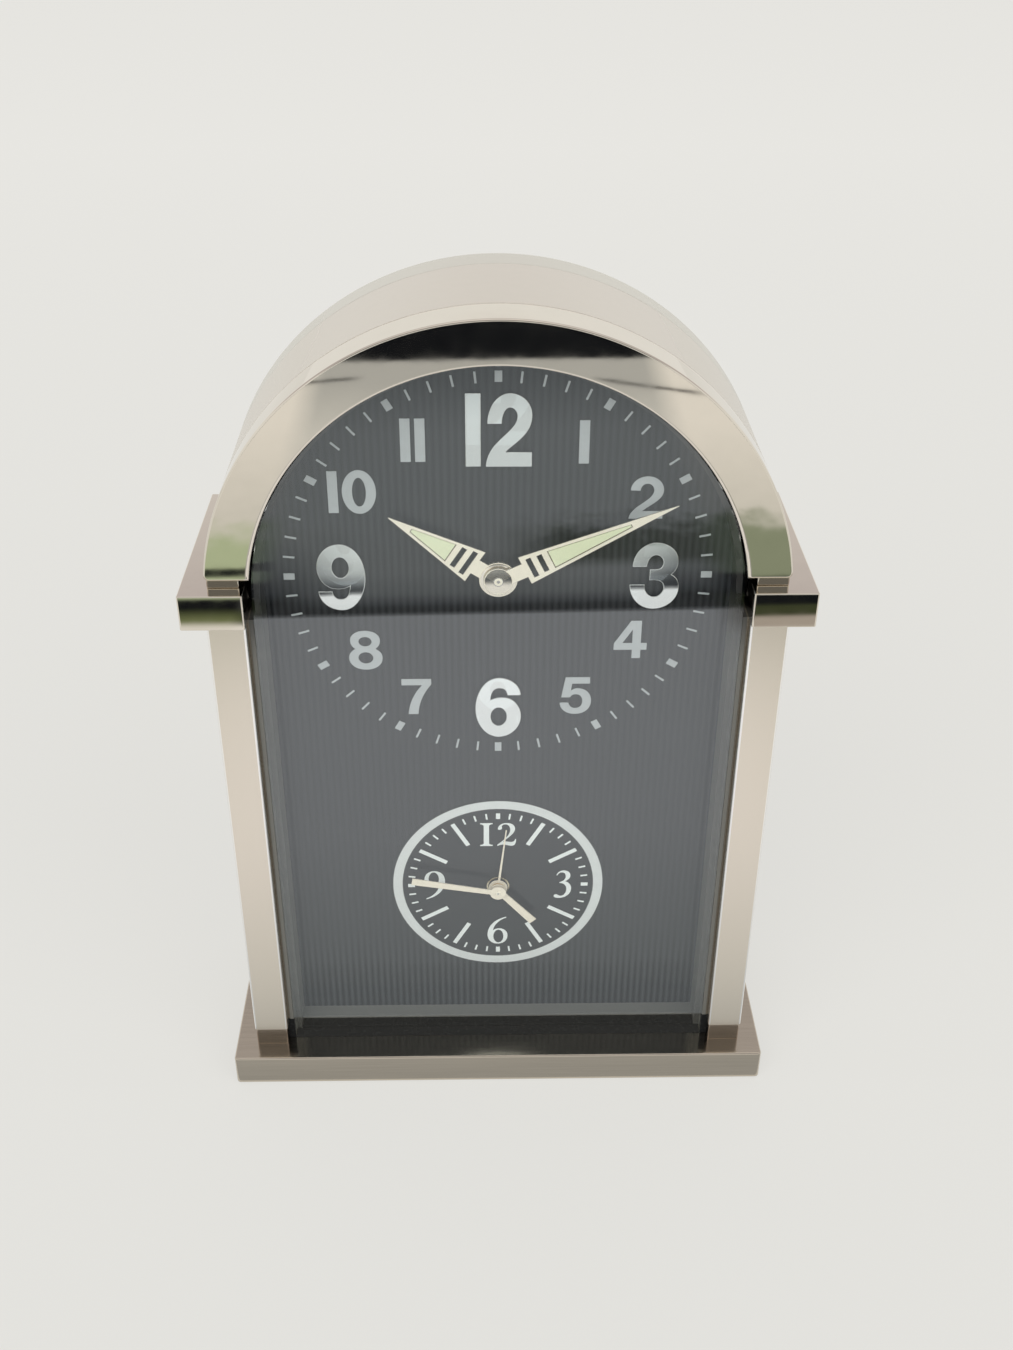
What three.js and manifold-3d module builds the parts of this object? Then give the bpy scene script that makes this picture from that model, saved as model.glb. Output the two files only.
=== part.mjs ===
// Arch-top table clock with a main dial and an alarm dial, millimetres, +Z up, dial side towards -Y.
// The origin is at the centre of the resting face. Depths in the case are measured from the
// front face of the dial plate: negative towards the viewer, positive towards the back cover.
import * as THREE from 'three';
import { mergeVertices } from 'three/addons/utils/BufferGeometryUtils.js';
import Module from 'manifold-3d';

const wasm = await Module();
wasm.setup();

// Base, and the stack of blocks on each side of the opening that carries the arch
const openingHalfWidth = 47.4;
const baseOverhang = 4.5;
const baseHeight = 7.6;
const baseCornerRadius = 0.9;
const feltThickness = 1;
const feltProud = 0.3;
const feltInset = 3;
const feltClearance = 0.15;
const footHeight = 4.4;
const footSetback = 0.25;
const pillarHeight = 105.3;
const pillarWidth = 7.4;
const pillarDepth = 8.5;
const capitalHeight = 7.2;
const capitalFrontSetback = 2.7;
const capitalRearSetback = 0.1;
const capitalOverlap = 0.2;
const capitalCornerRadius = 0.7;
const impostHeight = 2.2;
const impostSetback = 1.4;
const impostOuterInset = 0.8;
const impostWidth = 6;
const edgeChamfer = 0.45;
const pillarEndChamfer = 0.2;
const blockCornerRadius = 0.3;
const leastCornerRadius = 0.05;

// Arch: three rings, one behind the other
const archProud = 0.1;
const archOverlap = 1.1;
const archCentreDrop = 3.4;
const frontArchDepth = 8.5;
const archShellDepth = 22.6;
const rearArchDepth = 6.9;

// Glass, spacer and dial
const dialBehindArchFront = 10.4;
const plateClearance = 0.2;
const glassThickness = 2.8;
const spacerDepth = 5.6;
const spacerWall = 1.2;
const linerRecess = 0.2;
const linerClearance = 0.15;
const sillHeight = 0.7;
const sillClearance = 0.1;
const spacerBarDepth = 3.1;
const spacerBarHeight = 1.4;
const dialThickness = 1;
const mainAboveArchCentre = 1;
const caseFloorGap = 1.75;

// Applied numerals
const numeralThickness = 0.7;
const numeralFromOpening = 17.4;
const barNumeralWidth = 2.86;
const barNumeralHeight = 14.2;
const twoNumeralX = 1.9;
const twoNumeralHalfWidth = 4.24;
const numeralGap = 0.83;

// Back cover and its fasteners
const coverGap = 1.5;
const coverThickness = 2;
const coverClearance = 0.3;
const lugWidth = 8;
const lugMargin = 2;
const lugDepth = 6.5;
const lugAngle = 50;
const lowerLugHeight = 12;
const screwEdge = 3.2;
const screwHeadRadius = 2.4;
const screwHeadHeight = 1.4;
const screwShankRadius = 1;
const screwLength = 4.5;
const screwClearance = 0.2;
const arborHoleClearance = 0.6;

// Quartz movements: both share one size of case
const caseAbove = 22;
const caseWall = 1.2;
const bayWall = 2.45;
const batteryRadius = 7.25;
const batteryLength = 50.5;
const batteryEdge = 0.6;
const batteryNubRadius = 2.7;
const batteryNubLength = 1.4;
const batteryClearance = 0.3;
const trainToBattery = 1.72;
const postWall = 1.6;
const postLength = 6;
const postFloor = 2;
const runningGap = 0.15;
const fitGap = 0.075;
const endGap = 0.2;

// Battery doors
const doorMargin = 0.9;
const doorPinRadius = 0.5;
const doorPinLength = 1;
const doorNotchWidth = 10;
const doorNotchHeight = 2.2;
const doorNotchDepth = 0.5;

// Setting arbors, knobs and wheels
const arborRadius = 1;
const pivotRadius = 0.6;
const pivotDepth = 0.8;
const knobRadius = 5.5;
const knobLength = 5;
const knobFlutes = 12;
const knobFluteDepth = 0.35;
const knobChamfer = 0.4;
const knobEndWall = 0.7;
const knobStandoff = 0.4;
const pinionTeeth = 8;
const motionTeeth = 24;
const hourTeeth = 32;
const driveModule = 0.625;
const toothRise = 0.85;
const toothFall = 1.25;
const wheelThickness = 1;
const wheelGap = 0.8;
const driveGap = 1.4;
const pinionExtra = 0.2;

// Alarm sounder and its slide switch
const sounderRadius = 7.5;
const sounderThickness = 2;
const sounderX = -17;
const sounderAbove = 10;
const switchX = -19;
const switchAbove = 12;
const switchTravel = 6;
const switchStemWidth = 3.6;
const switchStemHeight = 4.6;
const switchFlangeWidth = 18;
const switchFlangeHeight = 8;
const switchFlangeThickness = 0.8;
const switchReach = 4;

// Concentric arbor and tubes of each dial: walls, and the nut that holds the bush
const mainShafts = { minuteArbor: 0.95, hourWall: 0.75, bushWall: 0.65, nutWall: 0.55, nutHeight: 0.7 };
const alarmShafts = {
  minuteArbor: 0.5,
  hourWall: 0.3,
  alarmWall: 0.3,
  bushWall: 0.4,
  nutWall: 0.4,
  nutHeight: 0.5,
};
const bushClearance = 0.2;
const bushProud = 0.1;
const tubeProud = 0.15;

// Hands: lengths from the axis, and angles clockwise from twelve
const numeralToHand = 0.75;
const mainHandGap = 0.35;
const mainHandThickness = 0.4;
const alarmHandGap = 0.6;
const alarmHandThickness = 0.3;
const bushToHand = 0.3;
const slotWidth = 0.95;
const firstSlot = 1.6;
const slotPitch = 2.2;
const lumeGap = 0.15;
const lumeRecess = 0.08;
const minuteHand = {
  hub: 3.72,
  neck: 3.1,
  shoulder: 6.3,
  shoulderAt: 5.5,
  length: 37,
  slotRim: 0.93,
  windowRim: 0.7,
  windowTip: 0.5,
  angle: 64.8,
};
const hourHand = {
  hub: 3.72,
  neck: 3.3,
  shoulder: 7.4,
  shoulderAt: 5.2,
  length: 24.4,
  slotRim: 0.75,
  windowRim: 0.6,
  windowTip: 0.7,
  angle: 302.8,
};
const handPoint = 0.24;
const alarmMinuteHand = { hub: 1.76, root: 1.25, tip: 1.7, length: 19, angle: 280.5 };
const alarmHourHand = { hub: 1.7, root: 1.5, tip: 1.85, length: 11.8, angle: 139 };
const alarmTimeHand = { hub: 2.05, root: 0.5, tip: 0.26, length: 16, angle: 6.3 };

// Steps round curves
const archSteps = 24;
const plateSteps = 20;
const cornerSteps = 2;
const numeralSteps = 3;
const turnedSteps = 24;
const smallSteps = 16;

// Places that follow from the sizes above
const numeralRingRadius = openingHalfWidth - numeralFromOpening;
const archOuterRadius = openingHalfWidth + pillarWidth + archProud;
const archInnerRadius = openingHalfWidth - archOverlap;
const plateHalfWidth = archInnerRadius - plateClearance;
const caseDepth = frontArchDepth + archShellDepth + rearArchDepth;
const baseHalfWidth = openingHalfWidth + pillarWidth + baseOverhang;
const baseHalfDepth = caseDepth / 2 + baseOverhang;
const baseTop = feltProud + baseHeight;
const footTop = baseTop + footHeight;
const pillarTop = footTop + pillarHeight;
const capitalTop = pillarTop + capitalHeight;
const archFoot = capitalTop + impostHeight;
const archCentre = capitalTop - archCentreDrop;
const dialY = -caseDepth / 2 + dialBehindArchFront;

const arborSpacing = (driveModule * (pinionTeeth + motionTeeth)) / 2;
const hourModule = (2 * arborSpacing) / (pinionTeeth + hourTeeth);
const motionTip = driveModule * (motionTeeth / 2 + toothRise);
const batteryBelow = arborSpacing + motionTip + trainToBattery + batteryRadius;
const caseBelow = batteryBelow + batteryRadius + batteryClearance + caseWall;
const caseHalfWidth = batteryLength / 2 + batteryClearance + bayWall;
const mainCentre = archCentre + mainAboveArchCentre;
const alarmCentre = baseTop + caseFloorGap + caseBelow;

const movementFront = dialThickness;
const movementDepth = caseWall + batteryClearance + 2 * batteryRadius;
const movementJoin = movementFront + movementDepth / 2;
const movementRear = movementFront + movementDepth;
const movementInside = movementFront + caseWall;
const coverFront = movementRear + coverGap;
const coverRear = coverFront + coverThickness;
const coverMiddle = (coverFront + coverRear) / 2;
const knobFront = coverRear + knobStandoff;
const knobRear = knobFront + knobLength;
const arborRear = knobRear - knobEndWall - runningGap;
const screwRadius = plateHalfWidth - screwEdge;
const past = 1;

const finishes = {
  champagne: { color: '#d2c8b6', roughness: 0.35, metalness: 0.9 },
  nickel: { color: '#cfc7b8', roughness: 0.08, metalness: 1 },
  gunmetal: { color: '#8f8475', roughness: 0.4, metalness: 0.9 },
  darkGunmetal: { color: '#5f554a', roughness: 0.4, metalness: 0.9 },
  felt: { color: '#1d1d1d', roughness: 1, metalness: 0 },
  glass: { color: '#dfe8e6', roughness: 0.02, metalness: 0, transparent: true, opacity: 0.2 },
  black: { color: '#141516', roughness: 0.6, metalness: 0 },
  charcoal: { color: '#34373a', roughness: 0.5, metalness: 0.1 },
  grey: { color: '#6a6b68', roughness: 0.5, metalness: 0.1 },
  lume: { color: '#d9e3bd', roughness: 0.7, metalness: 0 },
  brass: { color: '#c9a86a', roughness: 0.3, metalness: 1 },
  steel: { color: '#b9babb', roughness: 0.3, metalness: 1 },
  battery: { color: '#b88a3f', roughness: 0.4, metalness: 0.4 },
};

// The clock, the frame whose y is the depth from the dial, and a frame on each dial's axis
const assembly = new THREE.Group();
const dialFrame = new THREE.Group();
dialFrame.position.y = dialY;
const mainDial = new THREE.Group();
mainDial.position.z = mainCentre;
const alarmDial = new THREE.Group();
alarmDial.position.z = alarmCentre;
dialFrame.add(mainDial, alarmDial);
assembly.add(dialFrame);

function radians(degrees) {
  return (degrees * Math.PI) / 180;
}

// Closed triangle mesh of a geometry as a solid for joining and cutting
function solidOf(geometry) {
  const bare = geometry.index ? geometry.toNonIndexed() : geometry.clone();
  bare.deleteAttribute('normal');
  bare.deleteAttribute('uv');
  const merged = mergeVertices(bare, 1e-3);
  const corners = merged.index.array;
  const kept = [];
  for (let i = 0; i < corners.length; i += 3) {
    const [a, b, c] = corners.slice(i, i + 3);
    if (a !== b && b !== c && c !== a) kept.push(a, b, c);
  }
  return new wasm.Manifold(new wasm.Mesh({
    numProp: 3,
    vertProperties: merged.attributes.position.array,
    triVerts: new Uint32Array(kept),
  }));
}

function geometryOf(solid) {
  const mesh = solid.getMesh();
  const geometry = new THREE.BufferGeometry();
  geometry.setAttribute('position', new THREE.BufferAttribute(mesh.vertProperties, 3));
  geometry.setIndex(new THREE.BufferAttribute(mesh.triVerts, 1));
  geometry.computeVertexNormals();
  return geometry;
}

function joined(...solids) {
  return solids.reduce((sum, next) => sum.add(next));
}

function cutBy(solid, ...tools) {
  return tools.reduce((left, tool) => left.subtract(tool), solid);
}

function addNode(group, name, finish, solid, x = 0, z = 0) {
  const mesh = new THREE.Mesh(geometryOf(solid), new THREE.MeshStandardMaterial(finishes[finish]));
  mesh.name = name;
  mesh.position.set(x, 0, z);
  group.add(mesh);
  return mesh;
}

// Box between two corners
function block(low, high) {
  const size = high.map((value, axis) => value - low[axis]);
  const geometry = new THREE.BoxGeometry(...size);
  geometry.translate(...low.map((value, axis) => value + size[axis] / 2));
  return solidOf(geometry);
}

// Box on one side of the middle: side is -1 for the left and 1 for the right
function sideBlock(side, inner, outer, front, rear, bottom, top) {
  const xs = [side * inner, side * outer].sort((a, b) => a - b);
  return block([xs[0], front, bottom], [xs[1], rear, top]);
}

function extruded(shape, depth, chamfer, steps) {
  return new THREE.ExtrudeGeometry(shape, {
    depth: depth - 2 * chamfer,
    bevelEnabled: chamfer > 0,
    bevelThickness: chamfer,
    bevelSize: chamfer,
    bevelOffset: -chamfer,
    bevelSegments: 1,
    curveSegments: steps,
  });
}

// Outline drawn in the plane of the dial (x, z) and given depth along y
function upright(shape, front, rear, chamfer = 0, steps = smallSteps) {
  const geometry = extruded(shape, rear - front, chamfer, steps);
  geometry.rotateX(Math.PI / 2);
  geometry.translate(0, rear - chamfer, 0);
  return solidOf(geometry);
}

// The same, with the chamfer on the front face only
function frontChamfered(shape, front, rear, chamfer, steps) {
  const reach = 2 * archOuterRadius;
  const kept = block([-reach, front - past, -reach], [reach, rear, reach]);
  return upright(shape, front, rear + 2 * chamfer, chamfer, steps).intersect(kept);
}

// Outline drawn in plan (x, y) and raised along z, with chamfers top and bottom
function raised(shape, bottom, top, chamfer = 0) {
  const geometry = extruded(shape, top - bottom, chamfer, cornerSteps);
  geometry.translate(0, 0, bottom + chamfer);
  return solidOf(geometry);
}

function roundedRectangle(x0, y0, x1, y1, radius) {
  const shape = new THREE.Shape();
  shape.moveTo(x0 + radius, y0);
  shape.lineTo(x1 - radius, y0);
  shape.absarc(x1 - radius, y0 + radius, radius, -Math.PI / 2, 0);
  shape.lineTo(x1, y1 - radius);
  shape.absarc(x1 - radius, y1 - radius, radius, 0, Math.PI / 2);
  shape.lineTo(x0 + radius, y1);
  shape.absarc(x0 + radius, y1 - radius, radius, Math.PI / 2, Math.PI);
  shape.lineTo(x0, y0 + radius);
  shape.absarc(x0 + radius, y0 + radius, radius, Math.PI, 1.5 * Math.PI);
  return shape;
}

// A corner stays rounder than the chamfer that runs round it
function cornerRound(radius, chamfer) {
  return Math.max(radius, chamfer + leastCornerRadius);
}

function polygon(points) {
  return new THREE.Shape(points.map(([x, y]) => new THREE.Vector2(x, y)));
}

function rectangle(x0, y0, x1, y1) {
  return polygon([[x0, y0], [x1, y0], [x1, y1], [x0, y1]]);
}

// Solid of revolution about the y axis: the profile holds [radius, depth] points
function turned(profile, steps = turnedSteps) {
  const points = profile.map(([radius, depth]) => new THREE.Vector2(radius, depth));
  const solid = solidOf(new THREE.LatheGeometry(points, steps));
  return solid.volume() > 0 ? solid : turned([...profile].reverse(), steps);
}

function rod(radius, front, rear, steps = turnedSteps) {
  return turned([[0, front], [radius, front], [radius, rear], [0, rear]], steps);
}

function tube(outer, inner, front, rear) {
  return turned([[inner, front], [outer, front], [outer, rear], [inner, rear], [inner, front]]);
}

// Arch-headed plate outline: straight sides up to the arch centre, then a half circle
function archOutline(halfWidth, bottom) {
  const shape = new THREE.Shape();
  shape.moveTo(-halfWidth, bottom);
  shape.lineTo(halfWidth, bottom);
  shape.lineTo(halfWidth, archCentre);
  shape.absarc(0, archCentre, halfWidth, 0, Math.PI);
  return shape;
}

// Ring of the arch about its own centre, cut off level at its feet
function archRing() {
  const rise = archFoot - archCentre;
  const outerStart = Math.asin(rise / archOuterRadius);
  const innerStart = Math.asin(rise / archInnerRadius);
  const shape = new THREE.Shape();
  shape.absarc(0, 0, archOuterRadius, outerStart, Math.PI - outerStart);
  shape.absarc(0, 0, archInnerRadius, Math.PI - innerStart, innerStart, true);
  return shape;
}

// Base plate with its felt let into a pocket underneath
function makeBase() {
  const corner = cornerRound(baseCornerRadius, edgeChamfer);
  const plan = roundedRectangle(-baseHalfWidth, -baseHalfDepth, baseHalfWidth, baseHalfDepth, corner);
  const plate = raised(plan, feltProud, baseTop, edgeChamfer);
  const felt = (inset, bottom) => block(
    [inset - baseHalfWidth, inset - baseHalfDepth, bottom],
    [baseHalfWidth - inset, baseHalfDepth - inset, feltThickness],
  );
  addNode(assembly, 'base_plate', 'gunmetal', plate.subtract(felt(feltInset, -past)));
  addNode(assembly, 'base_felt', 'felt', felt(feltInset + feltClearance, 0));
}

// Blocks on one side of the dial
function makeColumn(side, label) {
  const inner = openingHalfWidth;
  const outer = openingHalfWidth + pillarWidth;
  const front = -caseDepth / 2;
  const rear = caseDepth / 2;
  const plan = (x0, y0, x1, y1, radius) => {
    const xs = [side * x0, side * x1].sort((a, b) => a - b);
    return roundedRectangle(xs[0], y0, xs[1], y1, radius);
  };
  const footPlan = plan(
    inner + footSetback, front + footSetback, outer - footSetback, rear - footSetback, blockCornerRadius,
  );
  addNode(assembly, 'foot_block_' + label, 'darkGunmetal', raised(footPlan, baseTop, footTop));

  const pillarCorner = cornerRound(edgeChamfer, pillarEndChamfer);
  const pillarPlan = plan(inner, front, outer, front + pillarDepth, pillarCorner);
  const pillar = raised(pillarPlan, footTop, pillarTop, pillarEndChamfer);
  addNode(assembly, 'pillar_' + label, 'champagne', pillar);

  const panel = raised(plan(inner, front + pillarDepth, outer, rear, blockCornerRadius), footTop, pillarTop);
  const lugFront = dialY + coverFront - lugDepth;
  const lugRear = dialY + coverFront;
  const lugBottom = baseTop + lowerLugHeight - lugWidth / 2;
  const lug = sideBlock(
    side, screwRadius - lugMargin, inner + past, lugFront, lugRear, lugBottom, lugBottom + lugWidth,
  );
  const hole = rod(screwShankRadius + screwClearance, coverFront - screwLength - past, coverFront + past, smallSteps)
    .translate([side * screwRadius, dialY, baseTop + lowerLugHeight]);
  addNode(assembly, 'side_panel_' + label, 'champagne', cutBy(joined(panel, lug), hole));

  const capitalPlan = plan(
    inner - capitalOverlap,
    capitalFrontSetback - baseHalfDepth,
    baseHalfWidth,
    baseHalfDepth - capitalRearSetback,
    cornerRound(capitalCornerRadius, edgeChamfer),
  );
  addNode(assembly, 'capital_' + label, 'nickel', raised(capitalPlan, pillarTop, capitalTop, edgeChamfer));

  const impostOuter = archOuterRadius - impostOuterInset;
  const impostPlan = plan(
    impostOuter - impostWidth, front + impostSetback, impostOuter, rear - impostSetback, blockCornerRadius,
  );
  addNode(assembly, 'impost_' + label, 'nickel', raised(impostPlan, capitalTop, archFoot));
}

// Places of the four back-cover screws: two on the side panels, two on the middle arch
function screwPlaces() {
  const lowZ = baseTop + lowerLugHeight;
  const highX = screwRadius * Math.cos(radians(lugAngle));
  const highZ = archCentre + screwRadius * Math.sin(radians(lugAngle));
  return [[-screwRadius, lowZ], [screwRadius, lowZ], [-highX, highZ], [highX, highZ]];
}

// Three arches stand one behind the other; the middle one has the upper lugs
function makeArches() {
  const front = -dialBehindArchFront;
  const frontRear = front + frontArchDepth;
  const shellRear = frontRear + archShellDepth;
  const ring = archRing();
  const frontArch = frontChamfered(ring, front, frontRear, edgeChamfer, archSteps);
  addNode(dialFrame, 'front_arch', 'nickel', frontArch, 0, archCentre);

  const lugOutline = rectangle(
    -lugWidth / 2, screwRadius - lugMargin, lugWidth / 2, archInnerRadius + past,
  );
  const lug = upright(lugOutline, coverFront - lugDepth, coverFront);
  const hole = rod(screwShankRadius + screwClearance, coverFront - screwLength - past, coverFront + past, smallSteps)
    .translate([0, 0, screwRadius]);
  const turns = [lugAngle - 90, 90 - lugAngle];
  const lugs = turns.map((turn) => lug.rotate([0, turn, 0]));
  const holes = turns.map((turn) => hole.rotate([0, turn, 0]));
  const shell = joined(upright(ring, frontRear, shellRear, 0, archSteps), ...lugs);
  addNode(dialFrame, 'arch_shell', 'champagne', cutBy(shell, ...holes), 0, archCentre);
  const rearArch = upright(ring, shellRear, shellRear + rearArchDepth, 0, archSteps);
  addNode(dialFrame, 'rear_arch', 'champagne', rearArch, 0, archCentre);
}

// Thick front glass, the spacer behind it and the black sill at its foot
function makeGlazing() {
  const glassRear = -spacerDepth;
  const glassFront = glassRear - glassThickness;
  const outline = archOutline(plateHalfWidth, baseTop);
  addNode(dialFrame, 'front_glass', 'glass', upright(outline, glassFront, glassRear, 0, plateSteps));

  const innerHalf = plateHalfWidth - spacerWall;
  const hollow = upright(archOutline(innerHalf, baseTop - past), glassRear - past, past, 0, plateSteps);
  const walls = upright(outline, glassRear, 0, 0, plateSteps).subtract(hollow);
  const bar = block(
    [-innerHalf - spacerWall / 2, -spacerBarDepth, baseTop],
    [innerHalf + spacerWall / 2, 0, baseTop + spacerBarHeight],
  );
  const linerOuter = openingHalfWidth - capitalOverlap - linerClearance;
  const linerFront = glassFront + linerRecess;
  const liners = [-1, 1].flatMap((side) => [
    sideBlock(side, plateHalfWidth - spacerWall / 2, linerOuter, glassRear, 0, baseTop, pillarTop),
    sideBlock(
      side, plateHalfWidth + linerClearance, linerOuter, linerFront, glassRear + past, baseTop, pillarTop,
    ),
  ]);
  addNode(dialFrame, 'spacer_frame', 'grey', joined(walls, bar, ...liners));

  addNode(dialFrame, 'bottom_sill', 'black', block(
    [sillClearance - innerHalf, glassRear + sillClearance, baseTop],
    [innerHalf - sillClearance, -spacerBarDepth - sillClearance, baseTop + sillHeight],
  ));
}

// Bore, outer and nut radius of the bush round a stack of tubes
function bushOf(shafts, outermostTube) {
  const bore = outermostTube + bushClearance;
  const outer = bore + shafts.bushWall;
  const nut = outer + runningGap + shafts.nutWall;
  return { bore, outer, nut, nutHeight: shafts.nutHeight, front: -shafts.nutHeight - bushProud };
}

const mainHourTube = mainShafts.minuteArbor + runningGap + mainShafts.hourWall;
const alarmHourTube = alarmShafts.minuteArbor + runningGap + alarmShafts.hourWall;
const alarmTimeTube = alarmHourTube + runningGap + alarmShafts.alarmWall;
const mainBush = bushOf(mainShafts, mainHourTube);
const alarmBush = bushOf(alarmShafts, alarmTimeTube);

function makeDial() {
  const plate = upright(archOutline(plateHalfWidth, baseTop), 0, dialThickness, 0, plateSteps);
  const hole = (bush, centre) => (
    rod(bush.outer + plateClearance, -past, dialThickness + past).translate([0, 0, centre])
  );
  const drilled = cutBy(plate, hole(mainBush, mainCentre), hole(alarmBush, alarmCentre));
  addNode(dialFrame, 'dial_plate', 'charcoal', drilled);
}

// Numeral outlines about their own centres
function twoNumeral() {
  const half = twoNumeralHalfWidth;
  const shape = new THREE.Shape();
  shape.moveTo(-3.94, 1.22);
  shape.absellipse(0.16, 1.22, 4.1, 5.92, Math.PI, Math.PI / 2, true);
  shape.absellipse(0.16, 2.77, half - 0.16, 4.37, Math.PI / 2, 0, true);
  shape.bezierCurveTo(half, -0.9, 0.9, -2.6, -0.58, -4.23);
  shape.lineTo(half, -4.23);
  shape.lineTo(half, -7.14);
  shape.lineTo(-half, -7.14);
  shape.bezierCurveTo(-4.1, -2, 1.5, -0.4, 1.5, 2.62);
  shape.absellipse(0.16, 2.62, 1.34, 1.7, 0, Math.PI / 2);
  shape.absellipse(0.16, 1.22, 1.42, 3.1, Math.PI / 2, Math.PI);
  return shape;
}

function threeNumeral() {
  const shape = new THREE.Shape();
  shape.moveTo(-4.39, 2);
  shape.absellipse(0, 2, 4.39, 5.22, Math.PI, Math.PI / 2, true);
  shape.absellipse(0, 3.15, 4.39, 4.07, Math.PI / 2, 0, true);
  shape.quadraticCurveTo(4.39, 1.2, 3.2, 0.4);
  shape.quadraticCurveTo(4.78, -0.4, 4.78, -2.66);
  shape.absellipse(0, -2.66, 4.78, 4.56, 0, -Math.PI / 2, true);
  shape.absellipse(0, -1.77, 4.78, 5.45, -Math.PI / 2, -Math.PI, true);
  shape.lineTo(-1.86, -1.77);
  shape.absellipse(0, -1.77, 1.86, 2.68, Math.PI, 1.5 * Math.PI);
  shape.absellipse(0, -2.5, 1.77, 1.95, 1.5 * Math.PI, 2 * Math.PI);
  shape.quadraticCurveTo(1.77, -0.9, -0.1, -0.9);
  shape.lineTo(-1.05, -0.9);
  shape.lineTo(-1.05, 1.5);
  shape.lineTo(0, 1.5);
  shape.quadraticCurveTo(1.47, 1.5, 1.47, 2.9);
  shape.absellipse(0, 2.9, 1.47, 1.58, 0, Math.PI / 2);
  shape.absellipse(0, 2, 1.56, 2.48, Math.PI / 2, Math.PI);
  return shape;
}

function sixNumeral() {
  const shape = new THREE.Shape();
  shape.moveTo(1.8, 2.95);
  shape.lineTo(4.57, 2.95);
  shape.absellipse(0.1, 2.95, 4.47, 4.22, 0, Math.PI / 2);
  shape.absellipse(0.1, -0.3, 4.75, 7.47, Math.PI / 2, Math.PI);
  shape.absellipse(0.1, -0.3, 4.75, 6.87, Math.PI, 1.5 * Math.PI);
  shape.absellipse(0.1, -2.1, 4.55, 5.07, 1.5 * Math.PI, 2 * Math.PI);
  shape.absellipse(1, -2.1, 3.65, 4.6, 0, Math.PI / 2);
  shape.quadraticCurveTo(-0.5, 2.6, -1.53, 1.9);
  shape.quadraticCurveTo(-1.35, 4.64, 0.25, 4.64);
  shape.quadraticCurveTo(1.7, 4.64, 1.8, 2.95);
  const counter = new THREE.Path();
  counter.absellipse(0.1, -2.17, 1.58, 2.16, 0, 2 * Math.PI, true);
  shape.holes.push(counter);
  return shape;
}

function makeNumerals() {
  const place = (name, shape, x, z, turn = 0) => {
    const solid = upright(shape, -numeralThickness, 0, 0, numeralSteps);
    addNode(mainDial, name, 'nickel', solid.rotate([0, turn, 0]), x, z);
  };
  const barX = twoNumeralX - twoNumeralHalfWidth - numeralGap - barNumeralWidth / 2;
  const bar = rectangle(
    -barNumeralWidth / 2, -barNumeralHeight / 2, barNumeralWidth / 2, barNumeralHeight / 2,
  );
  place('numeral_twelve_one', bar, barX, numeralRingRadius);
  place('numeral_twelve_two', twoNumeral(), twoNumeralX, numeralRingRadius);
  place('numeral_three', threeNumeral(), numeralRingRadius, 0);
  place('numeral_six', sixNumeral(), 0, -numeralRingRadius);
  place('numeral_nine', sixNumeral(), -numeralRingRadius, 0, 180);
}

// Half width and top and bottom of a battery door's opening, about its movement's axis
const doorHalfWidth = batteryLength / 2 + doorMargin;
const doorTop = -batteryBelow + batteryRadius + doorMargin;
const doorBottom = -batteryBelow - batteryRadius - doorMargin;
const doorPivotZ = doorTop - coverClearance - coverThickness / 2;

function crossPin(radius, halfLength) {
  const geometry = new THREE.CylinderGeometry(radius, radius, 2 * halfLength, smallSteps);
  geometry.rotateZ(Math.PI / 2);
  geometry.translate(0, coverMiddle, doorPivotZ);
  return solidOf(geometry);
}

function makeBatteryDoor(group, name) {
  const half = coverThickness / 2;
  const x = doorHalfWidth - coverClearance;
  const leaf = block([-x, coverFront, doorBottom + coverClearance], [x, coverRear, doorPivotZ]);
  const pin = crossPin(doorPinRadius, doorHalfWidth + doorPinLength - runningGap);
  const notch = block(
    [-doorNotchWidth / 2, coverRear - doorNotchDepth, doorBottom],
    [doorNotchWidth / 2, coverRear + past, doorBottom + doorNotchHeight],
  );
  addNode(group, name, 'black', cutBy(joined(leaf, crossPin(half, x), pin), notch));
}

function makeBackCover() {
  const outline = archOutline(plateHalfWidth - coverClearance, baseTop + coverClearance);
  const plate = upright(outline, coverFront, coverRear, 0, plateSteps);
  const through = (radius, x, z) => (
    rod(radius, coverFront - past, coverRear + past, smallSteps).translate([x, 0, z])
  );
  const places = screwPlaces();
  const holes = places.map(([x, z]) => through(screwShankRadius + 1.5 * screwClearance, x, z));
  const arbors = [mainCentre - arborSpacing, alarmCentre - arborSpacing, alarmCentre + arborSpacing];
  const arborHoles = arbors.map((z) => through(arborRadius + arborHoleClearance, 0, z));
  const bays = [mainCentre, alarmCentre].flatMap((centre) => [
    block(
      [-doorHalfWidth, coverFront - past, centre + doorBottom],
      [doorHalfWidth, coverRear + past, centre + doorTop],
    ),
    crossPin(doorPinRadius + runningGap, doorHalfWidth + doorPinLength).translate([0, 0, centre]),
  ]);
  const slotX = switchX - switchStemWidth / 2 - coverClearance;
  const slotZ = alarmCentre + switchAbove - switchStemHeight / 2 - coverClearance;
  const slot = block(
    [slotX, coverFront - past, slotZ],
    [
      slotX + switchStemWidth + switchTravel + 2 * coverClearance,
      coverRear + past,
      slotZ + switchStemHeight + 2 * coverClearance,
    ],
  );
  addNode(dialFrame, 'back_cover', 'black', cutBy(plate, ...holes, ...arborHoles, ...bays, slot));
  places.forEach(([x, z], index) => makeScrew('cover_screw_' + (index + 1), x, z));
}

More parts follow.
